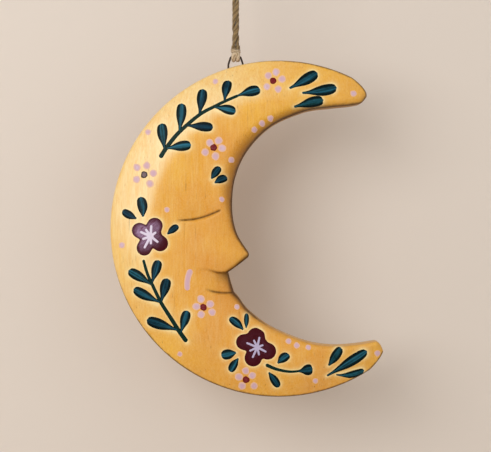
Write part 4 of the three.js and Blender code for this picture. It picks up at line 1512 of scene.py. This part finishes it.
def eye_path(eye):
    """The wire from prong tip to prong tip, in X and Z, with its four bends."""
    crown = EYE_HIGH.z - eye.wire / 2
    leg = EYE_HIGH.x - eye.wire / 2
    half = [(-leg, EYE_LOW.z), (-leg, crown - eye.rise + eye.leg_height), (-eye.crown_width / 2, crown)]
    corners = [np.array(point) for point in [*half, *((-x, z) for x, z in reversed(half))]]
    line = [corners[0]]
    for before, corner, after in zip(corners, corners[1:], corners[2:]):
        back = (before - corner) / np.hypot(*(before - corner)) * eye.bend
        on = (after - corner) / np.hypot(*(after - corner)) * eye.bend
        line.extend(bent_line(corner + back, corner, corner + on, 8))
    return np.array([*line, corners[-1]])


def bent_wire(name, line, radius, sides=16):
    """A round wire along a line in the X and Z plane, closed at both ends."""
    ahead = np.gradient(line, axis=0)
    ahead /= np.hypot(*ahead.T)[:, None]
    aside = np.column_stack([ahead[:, 1], -ahead[:, 0]])
    angles = np.linspace(0, 2 * pi, sides, endpoint=False)
    rings = line[:, None] + radius * np.cos(angles)[None, :, None] * aside[:, None]
    depth = np.broadcast_to(radius * np.sin(angles), rings.shape[:2])
    vertices = np.stack([rings[..., 0], depth, rings[..., 1]], axis=-1).reshape(-1, 3)
    count = len(line)
    faces = grid_faces(count, sides, closed=True).tolist()
    faces += [list(range(sides))[::-1], [(count - 1) * sides + k for k in range(sides)]]
    return mesh_object(name, vertices, faces)


def laid_twine(name, paths, seed, squash=0.0, widths=None):
    """Twine along each path, as thick as the twine's diameter times the path's width."""
    twine = bpy.context.scene.moon_twine
    return grown(name, curve_object(name + "_line", paths, widths), twine_tree(), Diameter=twine.diameter,
                 Lay=twine.lay, Plies=twine.plies, Groove=twine.groove, Squash=squash,
                 Fibre_length=twine.fibre_length, Fibre_density=twine.fibre_density, Seed=seed,
                 Material=jute())


# Stage

def plane(name, corners):
    """A flat mesh with four corners."""
    return mesh_object(name, corners, [[0, 1, 2, 3]])


def stage_material(name, pale):
    """Matt paint that isn't seen from behind."""
    material, nodes = empty_material(name)
    shader = nodes.add("ShaderNodeBsdfPrincipled", {
        "Base Color": (*pale, 1), "Roughness": 0.9, "Specular IOR Level": 0.1,
    })
    clear = nodes.add("ShaderNodeBsdfTransparent")
    behind = nodes.add("ShaderNodeNewGeometry").outputs["Backfacing"]
    mixed = nodes.add("ShaderNodeMixShader", {0: behind, 1: shader.outputs[0], 2: clear.outputs[0]})
    nodes.add("ShaderNodeOutputMaterial", {"Surface": mixed.outputs[0]})
    return material


def room_world(sky, pale):
    """Even light from all round, which the camera, gloss and glass see as a pale room."""
    world = bpy.data.worlds.new("room")
    world.use_nodes = True
    world.node_tree.nodes.clear()
    nodes = Nodes(world.node_tree)
    rays = nodes.add("ShaderNodeLightPath").outputs
    seen = nodes.larger(rays["Is Camera Ray"], rays["Is Glossy Ray"], rays["Is Transmission Ray"])
    light = nodes.add("ShaderNodeBackground", {"Color": (1, 1, 1, 1), "Strength": sky})
    room = nodes.add("ShaderNodeBackground", {"Color": (*pale, 1), "Strength": 1.0})
    mixed = nodes.add("ShaderNodeMixShader", {0: seen, 1: light.outputs[0], 2: room.outputs[0]})
    nodes.add("ShaderNodeOutputWorld", {"Surface": mixed.outputs[0]})
    return world


def area_light(name, offset, size, power):
    """A round light at an offset from the middle of the moon's height, which it shines on."""
    light = bpy.data.lights.new(name, "AREA")
    light.shape = "DISK"
    light.size = size
    light.energy = power
    placed = new_object(name, light)
    x, y, z = offset
    placed.location = (x, y, (BODY_LOW.z + BODY_HIGH.z) / 2 + z)
    placed.rotation_euler = (atan2(hypot(x, y), z), 0, atan2(-y, -x) - pi / 2)


# Operators

class MOON_OT_camera(bpy.types.Operator):
    """Sets the camera where the photograph was taken"""
    bl_idname = "moon.camera"
    bl_label = "Camera"

    def execute(self, context):
        stage = context.scene.moon_stage
        camera = bpy.data.cameras.new("camera")
        camera.sensor_width = 36
        camera.lens = camera.sensor_width * stage.camera_distance / stage.view_width
        placed = new_object("camera", camera)
        outer_edge = BODY_HIGH.y - context.scene.moon_sizes.outer_wall
        placed.location = (stage.camera_right, outer_edge - stage.camera_distance, -stage.camera_below)
        placed.rotation_euler = (pi / 2, 0, 0)
        context.scene.camera = placed
        return {"FINISHED"}


class MOON_OT_twine(bpy.types.Operator):
    """Lays the two wound strands and their hitch on the wire"""
    bl_idname = "moon.twine"
    bl_label = "Wound Twine"

    def execute(self, context):
        twine = context.scene.moon_twine
        for name, start in (("twine_strand_left", pi), ("twine_strand_right", 0)):
            path = strand_path(twine, start)
            piece = laid_twine(name + "_jute", [path], 1 + int(start), squash=twine.squash)
            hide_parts(name)
            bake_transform(piece)
        paths = [hitch_path(twine, context.scene.moon_eye), binding_path(twine, context.scene.moon_eye)]
        hitch = laid_twine("hitch_jute", paths, 5, widths=[HITCH_WIDTH, BINDING_WIDTH])
        carried(hitch, "hitch", "jute_twine", "twine_hitch")
        return {"FINISHED"}


class MOON_OT_knot(bpy.types.Operator):
    """Ties the knot above the strands and makes the loop that goes over the hook"""
    bl_idname = "moon.knot"
    bl_label = "Knot and Loop"

    def execute(self, context):
        twine = context.scene.moon_twine
        knot = laid_twine("knot_jute", knot_paths(twine), 9)
        carried(knot, "hanger", "jute_twine", "top_knot")
        path = loop_path(twine)
        loop = laid_twine("loop_jute", [path], 12)
        carried(loop, "hanger", "jute_twine", "hanging_loop")
        return {"FINISHED"}


class MOON_OT_wood(bpy.types.Operator):
    """Carves the crescent with its face"""
    bl_idname = "moon.wood"
    bl_label = "Carved Wood"

    def execute(self, context):
        wood = Crescent(context.scene.moon_sizes).mesh("moon_wood")
        wood.data.materials.append(yellow_paint())
        carried(wood, "moon", "painted_wood", "moon_body")
        return {"FINISHED"}


class MOON_OT_eye(bpy.types.Operator):
    """Bends the wire eye and sets it in the wood"""
    bl_idname = "moon.eye"
    bl_label = "Wire Eye"

    def execute(self, context):
        eye = bent_wire("eye_wire", eye_path(context.scene.moon_eye), context.scene.moon_eye.wire / 2)
        eye.data.materials.append(iron_wire())
        carried(eye, "moon", "aged_wire", "hanging_eye")
        return {"FINISHED"}


class MOON_OT_leaves(bpy.types.Operator):
    """Paints the stems and leaves"""
    bl_idname = "moon.leaves"
    bl_label = "Stems and Leaves"

    def execute(self, context):
        sizes = context.scene.moon_paint
        stems = stroke_lines("stems", SPRIG_STEMS, sizes.stem, sizes.stem, 0.8 * sizes.stem)
        painted("painted_stems", stems, stroke_tree(), "stem_paint", sizes.leaf, Tip=0.62)
        stem_points = np.vstack([smooth_line(stem, 8) for stem in SPRIG_STEMS])
        chance = np.random.default_rng(3)
        leaves = []
        for base, tip, width, *bend in LEAVES:
            to_stem = stem_points - base
            nearest = np.argmin(np.hypot(*to_stem.T))
            on_stem = np.hypot(*to_stem[nearest]) < NEAR_STEM
            stalk = stem_points[nearest] if on_stem else base
            thin = on_stem or hypot(tip[0] - base[0], tip[1] - base[1]) > LONG_LEAF
            bend = bend[0] if bend else chance.uniform(-0.4, 0.4)
            taper = THIN_START if thin else BLUNT_START
            leaves.append(leaf_mark(stalk, tip, LEAF_SPREAD * width * MM, bend * MM, taper))
        painted("painted_leaves", marks("leaves", leaves), leaf_tree(), "leaf_paint", sizes.leaf, OVER_STEM)
        return {"FINISHED"}


class MOON_OT_flowers(bpy.types.Operator):
    """Paints the plum flowers and their stars"""
    bl_idname = "moon.flowers"
    bl_label = "Plum Flowers"

    def execute(self, context):
        sizes = context.scene.moon_paint
        # The left flower gets the painted sheen and the lower one none
        finishes = [(1.0, "star_paint", 1.0), (0.0, "dull_star_paint", 0.85)]
        for number, (flower, finish) in enumerate(zip(PLUM_FLOWERS, finishes), start=1):
            centre, petals, ends = flower
            sheen, paint_of_star, width = finish
            stroke = sizes.star_stroke * width
            patch = flower_patch("flower", centre, petals, sheen)
            painted(f"plum_flower_{number}", patch, patch_tree(), "plum_paint", sizes.flower)
            rays = stroke_lines("rays", [(centre, end) for end in ends], stroke)
            painted(f"flower_star_{number}", rays, stroke_tree(), paint_of_star, sizes.flower,
                    sizes.flower, Tip=0.75)
            middle = marks("middle", [dab_mark(centre, 2 * stroke)])
            painted(f"star_middle_{number}", middle, dab_tree(), paint_of_star, sizes.flower, sizes.flower)
        return {"FINISHED"}


class MOON_OT_dabs(bpy.types.Operator):
    """Paints the daisies, the dots and the lilac stroke"""
    bl_idname = "moon.dabs"
    bl_label = "Daisies and Dots"

    def execute(self, context):
        sizes = context.scene.moon_paint
        chance = np.random.default_rng(11)
        dabs = [dab_mark(dot, sizes.dot * chance.uniform(0.9, 1.1)) for dot in LILAC_DOTS]
        for centre, petals in DAISIES:
            for petal in petals:
                across, up = np.array(petal) - np.array(centre)
                dabs.append(dab_mark(petal, sizes.petal, chance.uniform(1, 1.15), atan2(across, up)))
        painted("lilac_dabs", marks("dabs", dabs), dab_tree(), "lilac_paint", sizes.dab)
        stroke = stroke_lines("stroke", [LILAC_STROKE], sizes.dot)
        painted("lilac_stroke", stroke, stroke_tree(), "lilac_paint", sizes.dab, Tip=0.9)
        hearts = [dab_mark(centre, sizes.heart) for centre, _ in DAISIES]
        grey = hearts.pop(1)
        painted("daisy_hearts", marks("hearts", hearts), dab_tree(), "heart_paint", sizes.dab, OVER_PETALS)
        painted("grey_heart", marks("grey", [grey]), dab_tree(), "grey_heart_paint", sizes.dab, OVER_PETALS)
        return {"FINISHED"}


class MOON_OT_stage(bpy.types.Operator):
    """Sets the wall, the floor and the lights"""
    bl_idname = "moon.stage"
    bl_label = "Stage and Lights"

    def execute(self, context):
        stage = context.scene.moon_stage
        colours = context.scene.moon_colours
        wall_y = BODY_HIGH.y + stage.wall_distance
        floor_z = BODY_LOW.z - stage.floor_drop
        wall = plane("wall", [(x * WALL_REACH, wall_y, z * WALL_REACH) for x, z in CORNERS])
        wall.data.materials.append(stage_material("wall_paint", colours.wall))
        floor = plane("floor", [(x * FLOOR_REACH, y * FLOOR_REACH, floor_z) for x, y in CORNERS])
        floor.data.materials.append(stage_material("floor_paint", colours.floor))
        area_light("key", KEY_LIGHT, stage.key_size, stage.key_power)
        area_light("fill", FILL_LIGHT, stage.fill_size, stage.fill_power)
        context.scene.world = room_world(stage.sky, colours.wall)
        context.scene.view_settings.view_transform = "Standard"
        return {"FINISHED"}


class MOON_PT_sidebar(bpy.types.Panel):
    """Lists the pieces of the moon decoration and their sizes"""
    bl_idname = "MOON_PT_sidebar"
    bl_label = "Hanging Moon"
    bl_space_type = "VIEW_3D"
    bl_region_type = "UI"
    bl_category = "Moon"

    def draw(self, context):
        for operator in OPERATORS:
            self.layout.operator(operator.bl_idname)
        for name, group in GROUPS.items():
            box = self.layout.box()
            box.label(text=name.replace("_", " ").capitalize())
            settings = getattr(context.scene, name)
            for label in group.__annotations__:
                box.prop(settings, label)


GROUPS = {"moon_sizes": MoonSizes, "moon_eye": EyeSizes, "moon_twine": TwineSizes, "moon_paint": PaintSizes,
          "moon_colours": MoonColours, "moon_stage": StageSizes}
OPERATORS = [MOON_OT_camera, MOON_OT_twine, MOON_OT_knot, MOON_OT_wood, MOON_OT_eye, MOON_OT_leaves,
             MOON_OT_flowers, MOON_OT_dabs, MOON_OT_stage]


def register():
    for group in [*GROUPS.values(), *OPERATORS, MOON_PT_sidebar]:
        bpy.utils.register_class(group)
    for name, group in GROUPS.items():
        setattr(bpy.types.Scene, name, PointerProperty(type=group))


def unregister():
    for name in GROUPS:
        delattr(bpy.types.Scene, name)
    for group in reversed([*GROUPS.values(), *OPERATORS, MOON_PT_sidebar]):
        bpy.utils.unregister_class(group)


def main():
    register()
    for operator in OPERATORS:
        section, name = operator.bl_idname.split(".")
        getattr(getattr(bpy.ops, section), name)()


if __name__ == "__main__":
    main()
